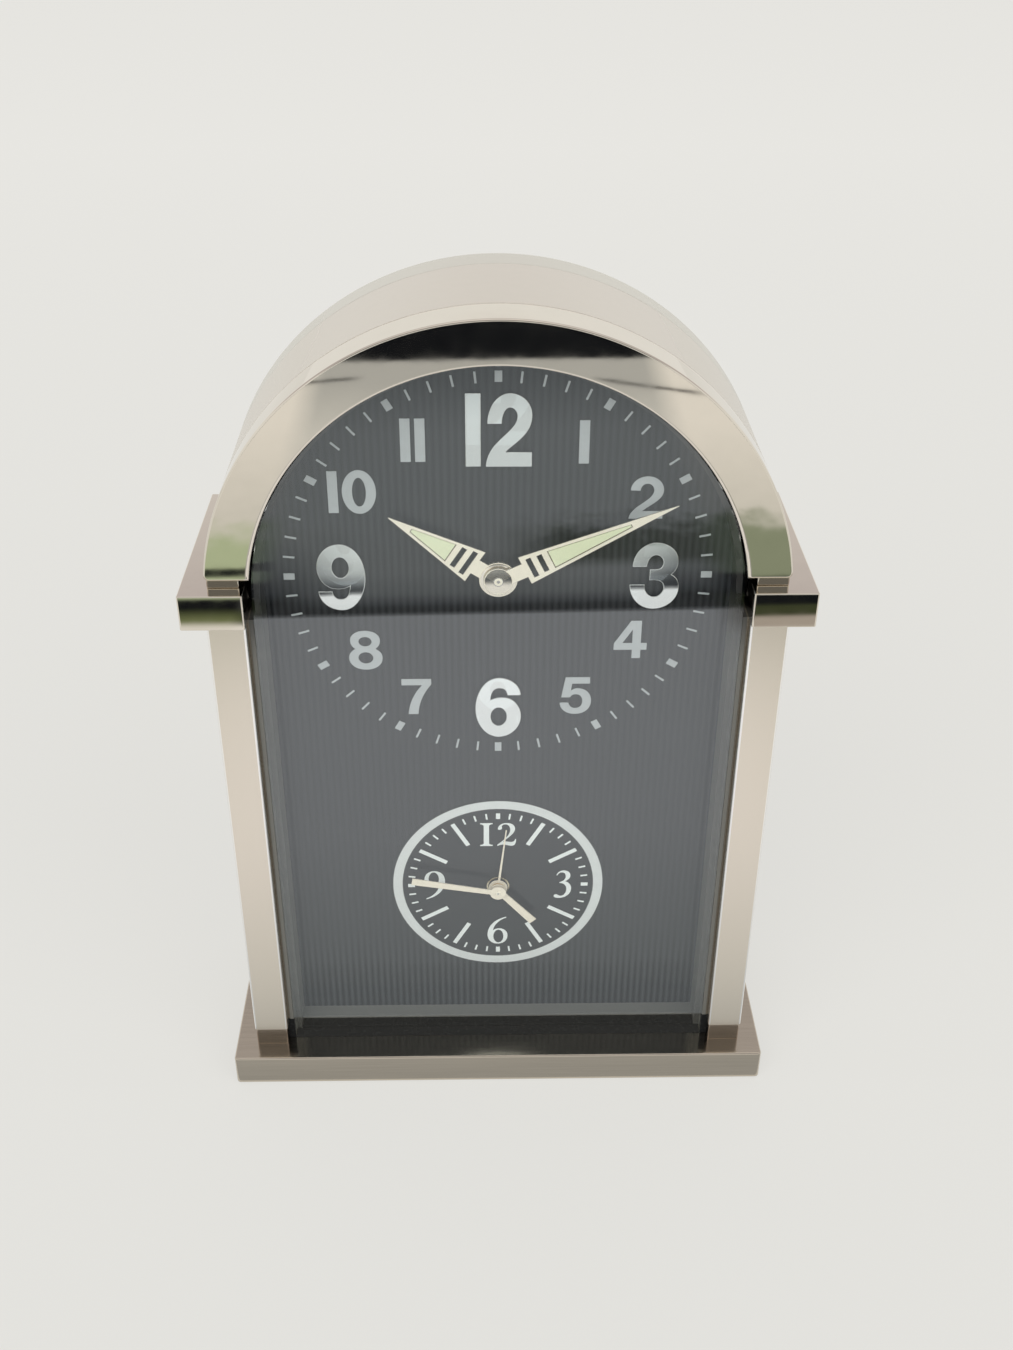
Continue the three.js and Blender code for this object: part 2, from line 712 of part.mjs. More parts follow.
function makeScrew(name, x, z) {
  const headRear = coverRear + screwHeadHeight;
  const profile = [
    [0, coverFront - screwLength],
    [screwShankRadius, coverFront - screwLength],
    [screwShankRadius, coverRear],
    [screwHeadRadius, coverRear],
    [screwHeadRadius, headRear - edgeChamfer],
    [screwHeadRadius - edgeChamfer, headRear],
    [0, headRear],
  ];
  addNode(dialFrame, name, 'steel', turned(profile, smallSteps), x, z);
}

// Gear with straight-sided, topped teeth; a tooth is centred on the phase angle
function gear(teeth, module, phase, front, rear) {
  const pitch = (2 * Math.PI) / teeth;
  const root = module * (teeth / 2 - toothFall);
  const tip = module * (teeth / 2 + toothRise);
  const corners = [[root, -0.27], [tip, -0.08], [tip, 0.08], [root, 0.27]];
  const points = [];
  for (let tooth = 0; tooth < teeth; tooth += 1) {
    corners.forEach(([radius, share]) => {
      const angle = phase + (tooth + share) * pitch;
      points.push([radius * Math.cos(angle), radius * Math.sin(angle)]);
    });
  }
  return upright(polygon(points), front, rear);
}

// Fluted setting knob with a blind bore for its arbor
function makeKnob(group, name, z) {
  const pitch = (2 * Math.PI) / knobFlutes;
  const corners = [[0, 0], [0.6, 0], [0.8, knobFluteDepth]];
  const points = [];
  for (let flute = 0; flute < knobFlutes; flute += 1) {
    corners.forEach(([share, inset]) => {
      const angle = (flute + share) * pitch;
      const radius = knobRadius - inset;
      points.push([radius * Math.cos(angle), radius * Math.sin(angle)]);
    });
  }
  const body = upright(polygon(points), knobFront, knobRear, knobChamfer);
  const bore = rod(arborRadius + fitGap, knobFront - past, knobRear - knobEndWall);
  addNode(group, name, 'black', body.subtract(bore), 0, z);
}

// Movement case in two halves; the front half has the bush that passes through the dial
function makeMovementCase(group, prefix, shafts, bush, arborPlaces) {
  const shell = (front, rear, inset) => block(
    [inset - caseHalfWidth, front, inset - caseBelow],
    [caseHalfWidth - inset, rear, caseAbove - inset],
  );
  const hollowFront = cutBy(
    shell(movementFront, movementJoin, 0),
    shell(movementInside, movementJoin + past, caseWall),
  );
  const neck = rod(bush.outer, bush.front, movementInside);
  const bore = rod(bush.bore, bush.front - past, movementInside + past);
  const sockets = arborPlaces.map((z) => (
    rod(pivotRadius + runningGap, movementInside - pivotDepth, movementJoin, smallSteps).translate([0, 0, z])
  ));
  addNode(group, prefix + '_movement_case', 'black', cutBy(joined(hollowFront, neck), bore, ...sockets));

  const hollowRear = cutBy(
    shell(movementJoin, movementRear, 0),
    shell(movementJoin - past, movementRear - caseWall, caseWall),
  );
  const bayX = batteryLength / 2 + batteryClearance;
  const bayReach = batteryRadius + batteryClearance;
  const bay = block(
    [-bayX, movementJoin - past, -batteryBelow - bayReach],
    [bayX, movementRear + past, -batteryBelow + bayReach],
  );
  const post = rod(shafts.minuteArbor + postWall, movementRear - postLength, movementRear);
  const postBore = rod(
    shafts.minuteArbor + runningGap, movementRear - postLength - past, movementRear - postFloor,
  );
  const arborHoles = arborPlaces.map((z) => (
    rod(arborRadius + runningGap, movementJoin - past, movementRear + past).translate([0, 0, z])
  ));
  const rear = cutBy(joined(hollowRear, post), bay, postBore, ...arborHoles);
  addNode(group, prefix + '_movement_cover', 'black', rear);
}

function makeBattery(group, name) {
  const half = batteryLength / 2;
  const bodyEnd = half - batteryNubLength;
  const profile = [
    [0, -half],
    [batteryRadius - batteryEdge, -half],
    [batteryRadius, batteryEdge - half],
    [batteryRadius, bodyEnd - batteryEdge],
    [batteryRadius - batteryEdge, bodyEnd],
    [batteryNubRadius, bodyEnd],
    [batteryNubRadius, half],
    [0, half],
  ];
  const across = turned(profile, turnedSteps).rotate([0, 0, -90]);
  const solid = across.translate([0, movementRear - batteryRadius, 0]);
  addNode(group, name, 'battery', solid, 0, -batteryBelow);
}

// Wheel train of one dial: minute arbor with its pinion, setting wheel, and hour wheel.
// Front ends of the arbor and the tube, and front faces of the two wheels, are depths.
function makeTrain(group, prefix, shafts, hourTube, level) {
  const below = -Math.PI / 2;
  const driveRear = level.drive + wheelThickness;
  const hourRear = level.hour + wheelThickness;
  addNode(group, prefix + '_minute_arbor', 'steel', joined(
    rod(shafts.minuteArbor, level.arborEnd, movementRear - postFloor - endGap),
    gear(pinionTeeth, driveModule, below, level.drive - pinionExtra, driveRear + pinionExtra),
  ));

  const gapUp = (teeth) => Math.PI / 2 + Math.PI / teeth;
  addNode(group, prefix + '_setting_wheel', 'steel', joined(
    rod(pivotRadius, movementInside - pivotDepth + endGap, level.hour, smallSteps),
    rod(arborRadius, level.hour - pinionExtra, arborRear),
    gear(motionTeeth, driveModule, gapUp(motionTeeth), level.drive, driveRear),
    gear(pinionTeeth, hourModule, gapUp(pinionTeeth), level.hour - pinionExtra, hourRear + pinionExtra),
  ), 0, -arborSpacing);

  const wheel = joined(
    rod(hourTube, level.tubeEnd, hourRear),
    gear(hourTeeth, hourModule, below, level.hour, hourRear),
  );
  const bore = rod(shafts.minuteArbor + runningGap, level.tubeEnd - past, hourRear + past);
  addNode(group, prefix + '_hour_wheel', 'brass', wheel.subtract(bore));
}

// Front and rear face of a hand, and the end of the tube or arbor that carries it
function handLevel(rear, thickness) {
  const front = rear - thickness;
  return { front, rear, tubeEnd: front - tubeProud };
}

// Main hand: hub, neck and a tapered blade with two slots across it and a window for the inset
function makeSpearHand(name, hand, level, tubeRadius) {
  const neckAngle = Math.asin(hand.neck / 2 / hand.hub);
  const shape = new THREE.Shape();
  shape.absarc(0, 0, hand.hub, Math.PI / 2 + neckAngle, 2.5 * Math.PI - neckAngle);
  shape.lineTo(hand.neck / 2, hand.shoulderAt);
  shape.lineTo(hand.shoulder / 2, hand.shoulderAt);
  shape.lineTo(handPoint / 2, hand.length);
  shape.lineTo(-handPoint / 2, hand.length);
  shape.lineTo(-hand.shoulder / 2, hand.shoulderAt);
  shape.lineTo(-hand.neck / 2, hand.shoulderAt);

  const slope = hand.shoulder / 2 / (hand.length - hand.shoulderAt);
  const halfWidthAt = (z) => slope * (hand.length - z);
  const front = level.front - past;
  const rear = level.rear + past;
  const slots = [0, 1].map((index) => {
    const z = hand.shoulderAt + firstSlot + index * slotPitch;
    const x = halfWidthAt(z) - hand.slotRim;
    return upright(rectangle(-x, z - slotWidth / 2, x, z + slotWidth / 2), front, rear);
  });
  const windowFrom = hand.shoulderAt + firstSlot + 2 * slotPitch - slotWidth / 2;
  const windowTo = hand.length - (hand.windowRim + hand.windowTip / 2) / slope;
  const wide = halfWidthAt(windowFrom) - hand.windowRim;
  const windowOutline = (inset) => polygon([
    [inset - wide, windowFrom + inset],
    [wide - inset, windowFrom + inset],
    [hand.windowTip / 2 - inset / 2, windowTo - inset],
    [inset / 2 - hand.windowTip / 2, windowTo - inset],
  ]);
  const blade = cutBy(
    upright(shape, level.front, level.rear, 0, cornerSteps * 4),
    rod(tubeRadius + fitGap, front, rear),
    ...slots,
    upright(windowOutline(0), front, rear),
  );
  addNode(mainDial, name, 'nickel', blade).rotation.y = radians(hand.angle);
  const lume = upright(windowOutline(lumeGap), level.front + lumeRecess, level.rear);
  addNode(mainDial, name + '_lume', 'lume', lume).rotation.y = radians(hand.angle);
}

// Alarm-dial hand: a hub and a blade that widens or narrows towards its tip
function makeBaton(name, hand, level, tubeRadius) {
  const rootAngle = Math.asin(hand.root / 2 / hand.hub);
  const shape = new THREE.Shape();
  shape.absarc(0, 0, hand.hub, Math.PI / 2 + rootAngle, 2.5 * Math.PI - rootAngle);
  shape.lineTo(hand.tip / 2, hand.length);
  shape.lineTo(-hand.tip / 2, hand.length);
  const bore = rod(tubeRadius + fitGap, level.front - past, level.rear + past);
  const solid = upright(shape, level.front, level.rear, 0, cornerSteps * 4).subtract(bore);
  addNode(alarmDial, name, 'champagne', solid).rotation.y = radians(hand.angle);
}

function makeBushNut(group, name, bush) {
  addNode(group, name, 'nickel', tube(bush.nut, bush.outer + runningGap, -bush.nutHeight, 0));
}

function makeMainMovement() {
  const hourLevel = handLevel(-numeralThickness - numeralToHand, mainHandThickness);
  const minuteLevel = handLevel(hourLevel.front - mainHandGap, mainHandThickness);
  const hour = movementInside + wheelGap;
  makeMovementCase(mainDial, 'main', mainShafts, mainBush, [-arborSpacing]);
  makeBushNut(mainDial, 'main_bush_nut', mainBush);
  makeTrain(mainDial, 'main', mainShafts, mainHourTube, {
    arborEnd: minuteLevel.tubeEnd,
    tubeEnd: hourLevel.tubeEnd,
    hour,
    drive: hour + wheelThickness + driveGap,
  });
  makeKnob(mainDial, 'main_setting_knob', -arborSpacing);
  makeBattery(mainDial, 'main_battery');
  makeSpearHand('minute_hand', minuteHand, minuteLevel, mainShafts.minuteArbor);
  makeSpearHand('hour_hand', hourHand, hourLevel, mainHourTube);
}

// The alarm wheel and its tube surround the alarm dial's hour tube
function makeAlarmMovement() {
  const alarmLevel = handLevel(alarmBush.front - bushToHand, alarmHandThickness);
  const hourLevel = handLevel(alarmLevel.front - alarmHandGap, alarmHandThickness);
  const minuteLevel = handLevel(hourLevel.front - alarmHandGap, alarmHandThickness);
  const timeWheel = movementInside + wheelGap;
  const timeWheelRear = timeWheel + wheelThickness;
  const hour = timeWheelRear + wheelGap;
  makeMovementCase(alarmDial, 'alarm', alarmShafts, alarmBush, [-arborSpacing, arborSpacing]);
  makeBushNut(alarmDial, 'alarm_bush_nut', alarmBush);
  makeTrain(alarmDial, 'alarm', alarmShafts, alarmHourTube, {
    arborEnd: minuteLevel.tubeEnd,
    tubeEnd: hourLevel.tubeEnd,
    hour,
    drive: hour + wheelThickness + driveGap,
  });
  makeKnob(alarmDial, 'alarm_dial_setting_knob', -arborSpacing);
  makeBattery(alarmDial, 'alarm_battery');

  const wheel = joined(
    rod(alarmTimeTube, alarmLevel.tubeEnd, timeWheelRear),
    gear(hourTeeth, hourModule, Math.PI / 2, timeWheel, timeWheelRear),
  );
  const bore = rod(alarmHourTube + runningGap, alarmLevel.tubeEnd - past, timeWheelRear + past);
  addNode(alarmDial, 'alarm_wheel', 'brass', wheel.subtract(bore));

  const phase = -Math.PI / 2 + Math.PI / pinionTeeth;
  addNode(alarmDial, 'alarm_time_arbor', 'steel', joined(
    rod(pivotRadius, movementInside - pivotDepth + endGap, timeWheel, smallSteps),
    rod(arborRadius, timeWheel - pinionExtra, arborRear),
    gear(pinionTeeth, hourModule, phase, timeWheel - pinionExtra, timeWheelRear + pinionExtra),
  ), 0, arborSpacing);
  makeKnob(alarmDial, 'alarm_time_knob', arborSpacing);

  makeBaton('alarm_minute_hand', alarmMinuteHand, minuteLevel, alarmShafts.minuteArbor);
  makeBaton('alarm_hour_hand', alarmHourHand, hourLevel, alarmHourTube);
  makeBaton('alarm_hand', alarmTimeHand, alarmLevel, alarmTimeTube);

  const sounder = rod(sounderRadius, movementInside, movementInside + sounderThickness);
  addNode(alarmDial, 'alarm_sounder', 'brass', sounder, sounderX, sounderAbove);
}

// Slide switch: a flange behind the cover and a stem through its slot
function makeAlarmSwitch() {
  const front = movementRear + (coverGap - switchFlangeThickness) / 2;
  const boxAt = (width, height, depth) => block(
    [-width / 2, front, -height / 2],
    [width / 2, front + depth, height / 2],
  );
  const flange = boxAt(switchFlangeWidth, switchFlangeHeight, switchFlangeThickness);
  const stem = boxAt(switchStemWidth, switchStemHeight, switchFlangeThickness + switchReach);
  addNode(alarmDial, 'alarm_switch', 'grey', joined(flange, stem), switchX, switchAbove);
}

makeBase();
makeColumn(-1, 'left');
makeColumn(1, 'right');
makeArches();
makeGlazing();
makeDial();
makeNumerals();
makeBackCover();
makeBatteryDoor(mainDial, 'main_battery_door');
makeBatteryDoor(alarmDial, 'alarm_battery_door');
makeMainMovement();
makeAlarmMovement();
makeAlarmSwitch();

export default assembly;
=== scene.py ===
import math

import bmesh
import bpy
from mathutils import Matrix, Vector


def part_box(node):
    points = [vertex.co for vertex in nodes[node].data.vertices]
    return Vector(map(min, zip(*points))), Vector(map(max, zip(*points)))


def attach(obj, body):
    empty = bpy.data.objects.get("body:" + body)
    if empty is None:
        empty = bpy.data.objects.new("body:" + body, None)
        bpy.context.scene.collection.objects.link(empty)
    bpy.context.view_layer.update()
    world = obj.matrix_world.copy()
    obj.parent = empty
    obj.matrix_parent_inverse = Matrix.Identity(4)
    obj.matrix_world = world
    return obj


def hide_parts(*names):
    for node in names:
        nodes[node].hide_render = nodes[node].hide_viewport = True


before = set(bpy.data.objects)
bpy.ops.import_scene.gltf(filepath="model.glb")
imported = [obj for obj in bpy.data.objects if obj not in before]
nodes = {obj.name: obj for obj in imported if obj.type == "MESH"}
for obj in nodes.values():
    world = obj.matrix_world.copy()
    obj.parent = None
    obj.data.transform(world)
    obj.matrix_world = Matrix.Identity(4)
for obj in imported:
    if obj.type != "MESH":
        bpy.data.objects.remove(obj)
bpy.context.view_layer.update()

# Arch-top table clock. Shapes are drawn in millimetres in the frame of the CAD model (x to the right,
# y to the back, z up) and turned into metres when a piece is made.
MM = 0.001
ARC_STEPS = 12
ROUND_STEPS = 96
ARCH_STEPS = 120
SHARP_ANGLE = math.radians(32)

# Camera of the photograph
CAMERA_PLACE = (-0.0034, -0.25636, 0.25601)
CAMERA_TURN = (57.778, -0.22, -1.033)
CAMERA_LENS = 39.07
CAMERA_SENSOR = 36.0


def box_of(node):
    low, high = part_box(node)
    return low / MM, high / MM


def middle(node):
    low, high = box_of(node)
    return (low + high) / 2


# Places read from the CAD model, in mm
DIAL_Y = box_of("dial_plate")[0].y
MAIN = middle("main_minute_arbor")
ALARM = middle("alarm_minute_arbor")
PLATE_HALF = box_of("dial_plate")[1].x
PLATE_TOP = box_of("dial_plate")[1].z
PLATE_BOTTOM = box_of("dial_plate")[0].z
PLATE_CENTRE = PLATE_TOP - PLATE_HALF


# Materials

def node_of(tree, kind, **settings):
    node = tree.nodes.new(kind)
    for key, value in settings.items():
        setattr(node, key, value)
    return node


def feed(tree, socket, value):
    """Links another node's output to a socket, or sets its number or colour."""
    if isinstance(value, bpy.types.NodeSocket):
        tree.links.new(value, socket)
    else:
        socket.default_value = value


def calc(tree, operation, *values):
    node = node_of(tree, "ShaderNodeMath", operation=operation)
    for socket, value in zip(node.inputs, values):
        feed(tree, socket, value)
    return node.outputs["Value"]


def fade(tree, value, low, high, start=0.0, end=1.0):
    """start where the value is low, end where it is high, and straight between them."""
    node = node_of(tree, "ShaderNodeMapRange")
    for key, setting in (("From Min", low), ("From Max", high), ("To Min", start), ("To Max", end)):
        node.inputs[key].default_value = setting
    tree.links.new(value, node.inputs["Value"])
    return node.outputs["Result"]


def ramp(tree, value, colors):
    """Colour that follows a value through (value, colour) pairs."""
    low, high = colors[0][0], colors[-1][0]
    node = node_of(tree, "ShaderNodeValToRGB")
    stops = node.color_ramp.elements
    for index, (place, color) in enumerate(colors):
        at = (place - low) / (high - low)
        stop = stops[index] if index < 2 else stops.new(at)
        stop.position = at
        stop.color = (*color[:3], 1.0)
    tree.links.new(fade(tree, value, low, high), node.inputs["Fac"])
    return node.outputs["Color"]


def blended(tree, share, first, second):
    """Shader that is the first where the share is 0 and the second where it is 1."""
    node = node_of(tree, "ShaderNodeMixShader")
    tree.links.new(share, node.inputs["Fac"])
    tree.links.new(first, node.inputs[1])
    tree.links.new(second, node.inputs[2])
    return node.outputs["Shader"]


def mixed(tree, share, first, second):
    """Colour that is the first where the share is 0 and the second where it is 1."""
    node = node_of(tree, "ShaderNodeMix", data_type="RGBA")
    tree.links.new(share, node.inputs["Factor"])
    feed(tree, node.inputs[6], first)
    feed(tree, node.inputs[7], second)
    return node.outputs[2]


def noise(tree, scale, detail=4.0, stretch=None):
    coordinates = node_of(tree, "ShaderNodeTexCoord").outputs["Object"]
    if stretch:
        mapping = node_of(tree, "ShaderNodeMapping")
        mapping.inputs["Scale"].default_value = stretch
        tree.links.new(coordinates, mapping.inputs["Vector"])
        coordinates = mapping.outputs["Vector"]
    node = node_of(tree, "ShaderNodeTexNoise")
    node.inputs["Scale"].default_value = scale
    node.inputs["Detail"].default_value = detail
    tree.links.new(coordinates, node.inputs["Vector"])
    return node.outputs["Fac"]


def place_of(tree, axis):
    split = node_of(tree, "ShaderNodeSeparateXYZ")
    tree.links.new(node_of(tree, "ShaderNodeTexCoord").outputs["Object"], split.inputs["Vector"])
    return split.outputs[axis]


def new_material(name, shaded=False):
    """A material and its node tree, with Blender's own shader only where it is asked for."""
    material = bpy.data.materials.new(name)
    material.use_nodes = True
    tree = material.node_tree
    if not shaded:
        tree.nodes.remove(tree.nodes["Principled BSDF"])
    return material, tree


def show(tree, shader):
    tree.links.new(shader, tree.nodes["Material Output"].inputs["Surface"])


def glow(tree, color):
    """Shader that shows its plain colour, whatever light there is."""
    node = node_of(tree, "ShaderNodeEmission")
    feed(tree, node.inputs["Color"], color)
    return node.outputs["Emission"]


def scaled(color, factor):
    return tuple(min(1.0, channel * factor) for channel in color)


# Range of the noise over which a finish changes, and the height of a full relief in mm
NOISE_LOW = 0.3
NOISE_HIGH = 0.7
RELIEF_HEIGHT = 0.05


def surface(name, color, roughness, metallic=0.0, grain=500, tone=0.05, spread=0.04, relief=0.0, extra=None):
    """Principled finish whose colour, gloss and relief follow a noise. grain is the noise's scale in
    cells per metre, or one scale each along x, y and z, which gives brushed lines. extra holds
    further sockets of the shader."""
    material, tree = new_material(name, True)
    shader = tree.nodes["Principled BSDF"]
    shader.inputs["Metallic"].default_value = metallic
    for socket, value in (extra or {}).items():
        shader.inputs[socket].default_value = value
    fine = noise(tree, 1.0, stretch=grain if isinstance(grain, tuple) else (grain, grain, grain))
    shades = [(NOISE_LOW, scaled(color, 1 - tone)), (NOISE_HIGH, scaled(color, 1 + tone))]
    tree.links.new(ramp(tree, fine, shades), shader.inputs["Base Color"])
    gloss = fade(tree, fine, NOISE_LOW, NOISE_HIGH, max(0.0, roughness - spread), roughness + spread)
    tree.links.new(gloss, shader.inputs["Roughness"])
    if relief:
        bump = node_of(tree, "ShaderNodeBump")
        bump.inputs["Strength"].default_value = relief
        bump.inputs["Distance"].default_value = RELIEF_HEIGHT * MM
        tree.links.new(fine, bump.inputs["Height"])
        tree.links.new(bump.outputs["Normal"], shader.inputs["Normal"])
    return material


def recolored(material, value, colors):
    """The same finish with a base colour that follows a value through (value, colour) pairs."""
    tree = material.node_tree
    tree.links.new(ramp(tree, value, colors), tree.nodes["Principled BSDF"].inputs["Base Color"])
    return material


# Front glass: its tints, the share that it mirrors straight on and along its face, how steeply the
# share rises between them, and the smears on its gloss
GLASS_TINT = (0.99, 0.997, 0.994, 1.0)
MIRROR_TINT = (0.90, 0.955, 1.0, 1.0)
SHARE_STRAIGHT_ON = 0.142
SHARE_ALONG = 1.0
SHARE_POWER = 4.0
SMEAR_SCALE = 60.0
SMEAR_ROUGHNESS = 0.01


def clear_pane(name):
    """Glass that lets light straight through and mirrors more at a slant. Each ray that enters is
    mirrored once, by the face that it meets first."""
    material, tree = new_material(name)
    through = node_of(tree, "ShaderNodeBsdfTransparent")
    through.inputs["Color"].default_value = GLASS_TINT
    mirror = node_of(tree, "ShaderNodeBsdfGlossy")
    mirror.inputs["Color"].default_value = MIRROR_TINT
    smears = fade(tree, noise(tree, SMEAR_SCALE), 0.0, 1.0, 0.0, SMEAR_ROUGHNESS)
    tree.links.new(smears, mirror.inputs["Roughness"])
    slant = node_of(tree, "ShaderNodeLayerWeight")
    slant.inputs["Blend"].default_value = 0.5
    rise = calc(tree, "POWER", slant.outputs["Facing"], SHARE_POWER)
    gloss = calc(tree, "MULTIPLY_ADD", rise, SHARE_ALONG - SHARE_STRAIGHT_ON, SHARE_STRAIGHT_ON)
    behind = node_of(tree, "ShaderNodeNewGeometry").outputs["Backfacing"]
    share = calc(tree, "MULTIPLY", gloss, fade(tree, behind, 0.0, 1.0, 1.0, 0.0))
    show(tree, blended(tree, share, through.outputs["BSDF"], mirror.outputs["BSDF"]))
    return material


# Ribs of the dial: pitch and depth in mm, steps of each, and the greys of groove and ridge, whose
# difference is painted light: painted shade in the grooves and a painted sheen on the ridges. Then two
# heights in metres each, with the strength of that painted light on the ribs or the painted shade of
# the arch at both, and the gloss.
RIB_PITCH = 1.4
RIB_DEPTH = 0.06
RIB_COLUMNS = 8
GROOVE_SHADED = (0.002, 0.003, 0.004)
RIDGE_SHEEN = (0.046, 0.050, 0.054)
RIB_SHEEN_BELOW = (0.016, 0.032, 1.0, 0.2)
RIB_SHEEN_ABOVE = (0.085, 0.105, 0.2, 0.35)
PAINTED_ARCH_SHADE = (0.085, 0.115, 0.0, 0.4)
DIAL_GLOSS = {"Specular IOR Level": 0.3}
SEAL_GLOSS = {"Specular IOR Level": 0.2}


def ribbed_dial():
    """Glossy dial with painted light on its fine upright ribs: paler ridges and darker grooves, strongest
    at the foot and a little stronger under the arch, and painted shade of the arch near its top.
    """
    material = surface("dial_grey", RIDGE_SHEEN, 0.12, 0.0, (260, 260, 90), 0.05, 0.001, 0.0, DIAL_GLOSS)
    tree = material.node_tree
    turns = calc(tree, "MULTIPLY", place_of(tree, "X"), 2 * math.pi / (RIB_PITCH * MM))
    up = place_of(tree, "Z")
    strength = calc(tree, "MAXIMUM", fade(tree, up, *RIB_SHEEN_BELOW), fade(tree, up, *RIB_SHEEN_ABOVE))
    height = calc(tree, "MULTIPLY", calc(tree, "COSINE", turns), strength)
    # Painted shade of the arch: near the top of the dial the ribs' colour turns towards the groove grey
    shaded = calc(tree, "SUBTRACT", height, fade(tree, up, *PAINTED_ARCH_SHADE))
    return recolored(material, shaded, [(-1.0, GROOVE_SHADED), (1.0, RIDGE_SHEEN)])


# Spacer: grey, with painted shade that darkens it from one height in metres to the other, where the
# case shades it
SPACER_GREY = (0.15, 0.15, 0.138)
SPACER_PAINTED_SHADE = [(0.108, SPACER_GREY), (0.121, (0.02, 0.02, 0.02))]


def shaded_spacer():
    material = surface("spacer_grey", SPACER_GREY, 0.4, 0.0, (800, 800, 80), 0.05, 0.04, 0.05)
    # Its colour follows the height: painted shade along the arch
    return recolored(material, place_of(material.node_tree, "Z"), SPACER_PAINTED_SHADE)


# Each finish: name, colour, roughness, metallic, grain, how far the noise moves its colour and its
# roughness, relief, and further sockets
FINISHES = {
    "champagne": ("champagne_satin", (0.83, 0.765, 0.67), 0.27, 1.0, (1500, 1500, 30), 0.004, 0.003),
    # Arch shell and rear arch: copies of the champagne satin with less metal, darkened with painted shade
    "shaded_arch_band": ("arch_satin", (0.69, 0.645, 0.575), 0.26, 0.6, 400, 0.006, 0.004),
    "shaded_rear_band": ("rear_arch_satin", (0.67, 0.65, 0.585), 0.26, 0.6, 400, 0.006, 0.004),
    "nickel": ("polished_nickel", (0.80, 0.745, 0.655), 0.03, 1.0, 300, 0.012, 0.01),
    "chrome": ("numeral_chrome", (0.96, 1.0, 1.0), 0.015, 1.0, 500, 0.008, 0.005),
    "hand": ("hand_nickel", (0.94, 0.885, 0.75), 0.32, 0.3, 900, 0.02, 0.03),
    "baton": ("hand_champagne", (0.94, 0.87, 0.73), 0.32, 0.3, 900, 0.02, 0.03),
    # Edges of the pillars: their whiter colour is a painted highlight
    "painted_highlight_edge": ("painted_highlight_edge", (0.97, 0.965, 0.95), 0.12, 1.0, 900, 0.004, 0.01),
    "putty": ("liner_putty", (0.13, 0.115, 0.09), 0.6, 0.0, 1800, 0.25, 0.1, 0.4),
    "gunmetal": ("base_gunmetal", (0.60, 0.54, 0.455), 0.15, 1.0, (50, 2600, 2600), 0.04, 0.03, 0.06),
    "foot": ("foot_dark", (0.60, 0.52, 0.445), 0.2, 1.0, (60, 3000, 3000), 0.05, 0.03, 0.06),
    "smooth_dial": ("smooth_dial_grey", (0.020, 0.022, 0.024), 0.12, 0.0, 260, 0.01, 0.001, 0.0, DIAL_GLOSS),
    # Imposts: a darker copy of the polished nickel, darkened with painted shade
    "impost": ("shaded_impost_nickel", (0.64, 0.585, 0.505), 0.05, 1.0, 300, 0.012, 0.01),
    "hub": ("hub_polished", (0.97, 0.91, 0.80), 0.03, 1.0, 900, 0.01, 0.01),
    "black": ("sill_black", (0.010, 0.011, 0.012), 0.25, 0.0, 700, 0.1, 0.06, 0.0, SEAL_GLOSS),
    "print": ("print_silver", (0.46, 0.495, 0.51), 0.35, 0.2, 900, 0.03, 0.05),
    "ring": ("print_ring", (0.68, 0.715, 0.715), 0.4, 0.1, 900, 0.02, 0.05),
    "white": ("print_white", (0.82, 0.865, 0.86), 0.4, 0.1, 900, 0.02, 0.05),
    "ink": ("print_dark", (0.02, 0.022, 0.024), 0.4, 0.0, 900, 0.05, 0.05),
    "lume": ("lume", (0.72, 0.77, 0.54), 0.6, 0.0, 2500, 0.03, 0.05, 0.3),
    "bed": ("lume_bed", (0.11, 0.07, 0.035), 0.5, 0.0, 2500, 0.1, 0.05),
    "plastic": ("cover_black", (0.022, 0.022, 0.024), 0.45, 0.0, 1800, 0.12, 0.08, 0.5),
    "movement": ("movement_black", (0.03, 0.03, 0.032), 0.5, 0.0, 1500, 0.1, 0.08, 0.3),
    "knob": ("knob_black", (0.028, 0.028, 0.03), 0.38, 0.0, 1500, 0.1, 0.06, 0.3),
    "switch": ("switch_grey", (0.25, 0.25, 0.26), 0.4, 0.0, 1500, 0.06, 0.05, 0.3),
    "screw": ("screw_steel", (0.55, 0.55, 0.56), 0.25, 1.0, 2000, 0.06, 0.06),
    "steel": ("arbor_steel", (0.62, 0.61, 0.60), 0.25, 1.0, 900, 0.05, 0.05),
    "brass": ("wheel_brass", (0.72, 0.52, 0.25), 0.3, 1.0, 900, 0.06, 0.06),
    "collar": ("collar_brass", (0.78, 0.70, 0.52), 0.16, 1.0, 1500, 0.05, 0.05),
    "battery": ("battery_case", (0.35, 0.24, 0.10), 0.35, 0.5, (200, 900, 900), 0.1, 0.05),
    "felt": ("felt", (0.02, 0.02, 0.02), 0.95, 0.0, 3000, 0.3, 0.04, 1.0, {"Sheen Weight": 0.3}),
}
finishes = {finish: surface(*settings) for finish, settings in FINISHES.items()}
finishes.update({"dial": ribbed_dial(), "spacer": shaded_spacer(), "glass": clear_pane("front_glass")})


# Pieces

def flat_faces_stay_flat(piece):
    weighted = piece.modifiers.new("weighted", "WEIGHTED_NORMAL")
    weighted.keep_sharp = True
    weighted.weight = 100


def linked(name, data):
    item = bpy.data.objects.new(name, data)
    bpy.context.scene.collection.objects.link(item)
    return item


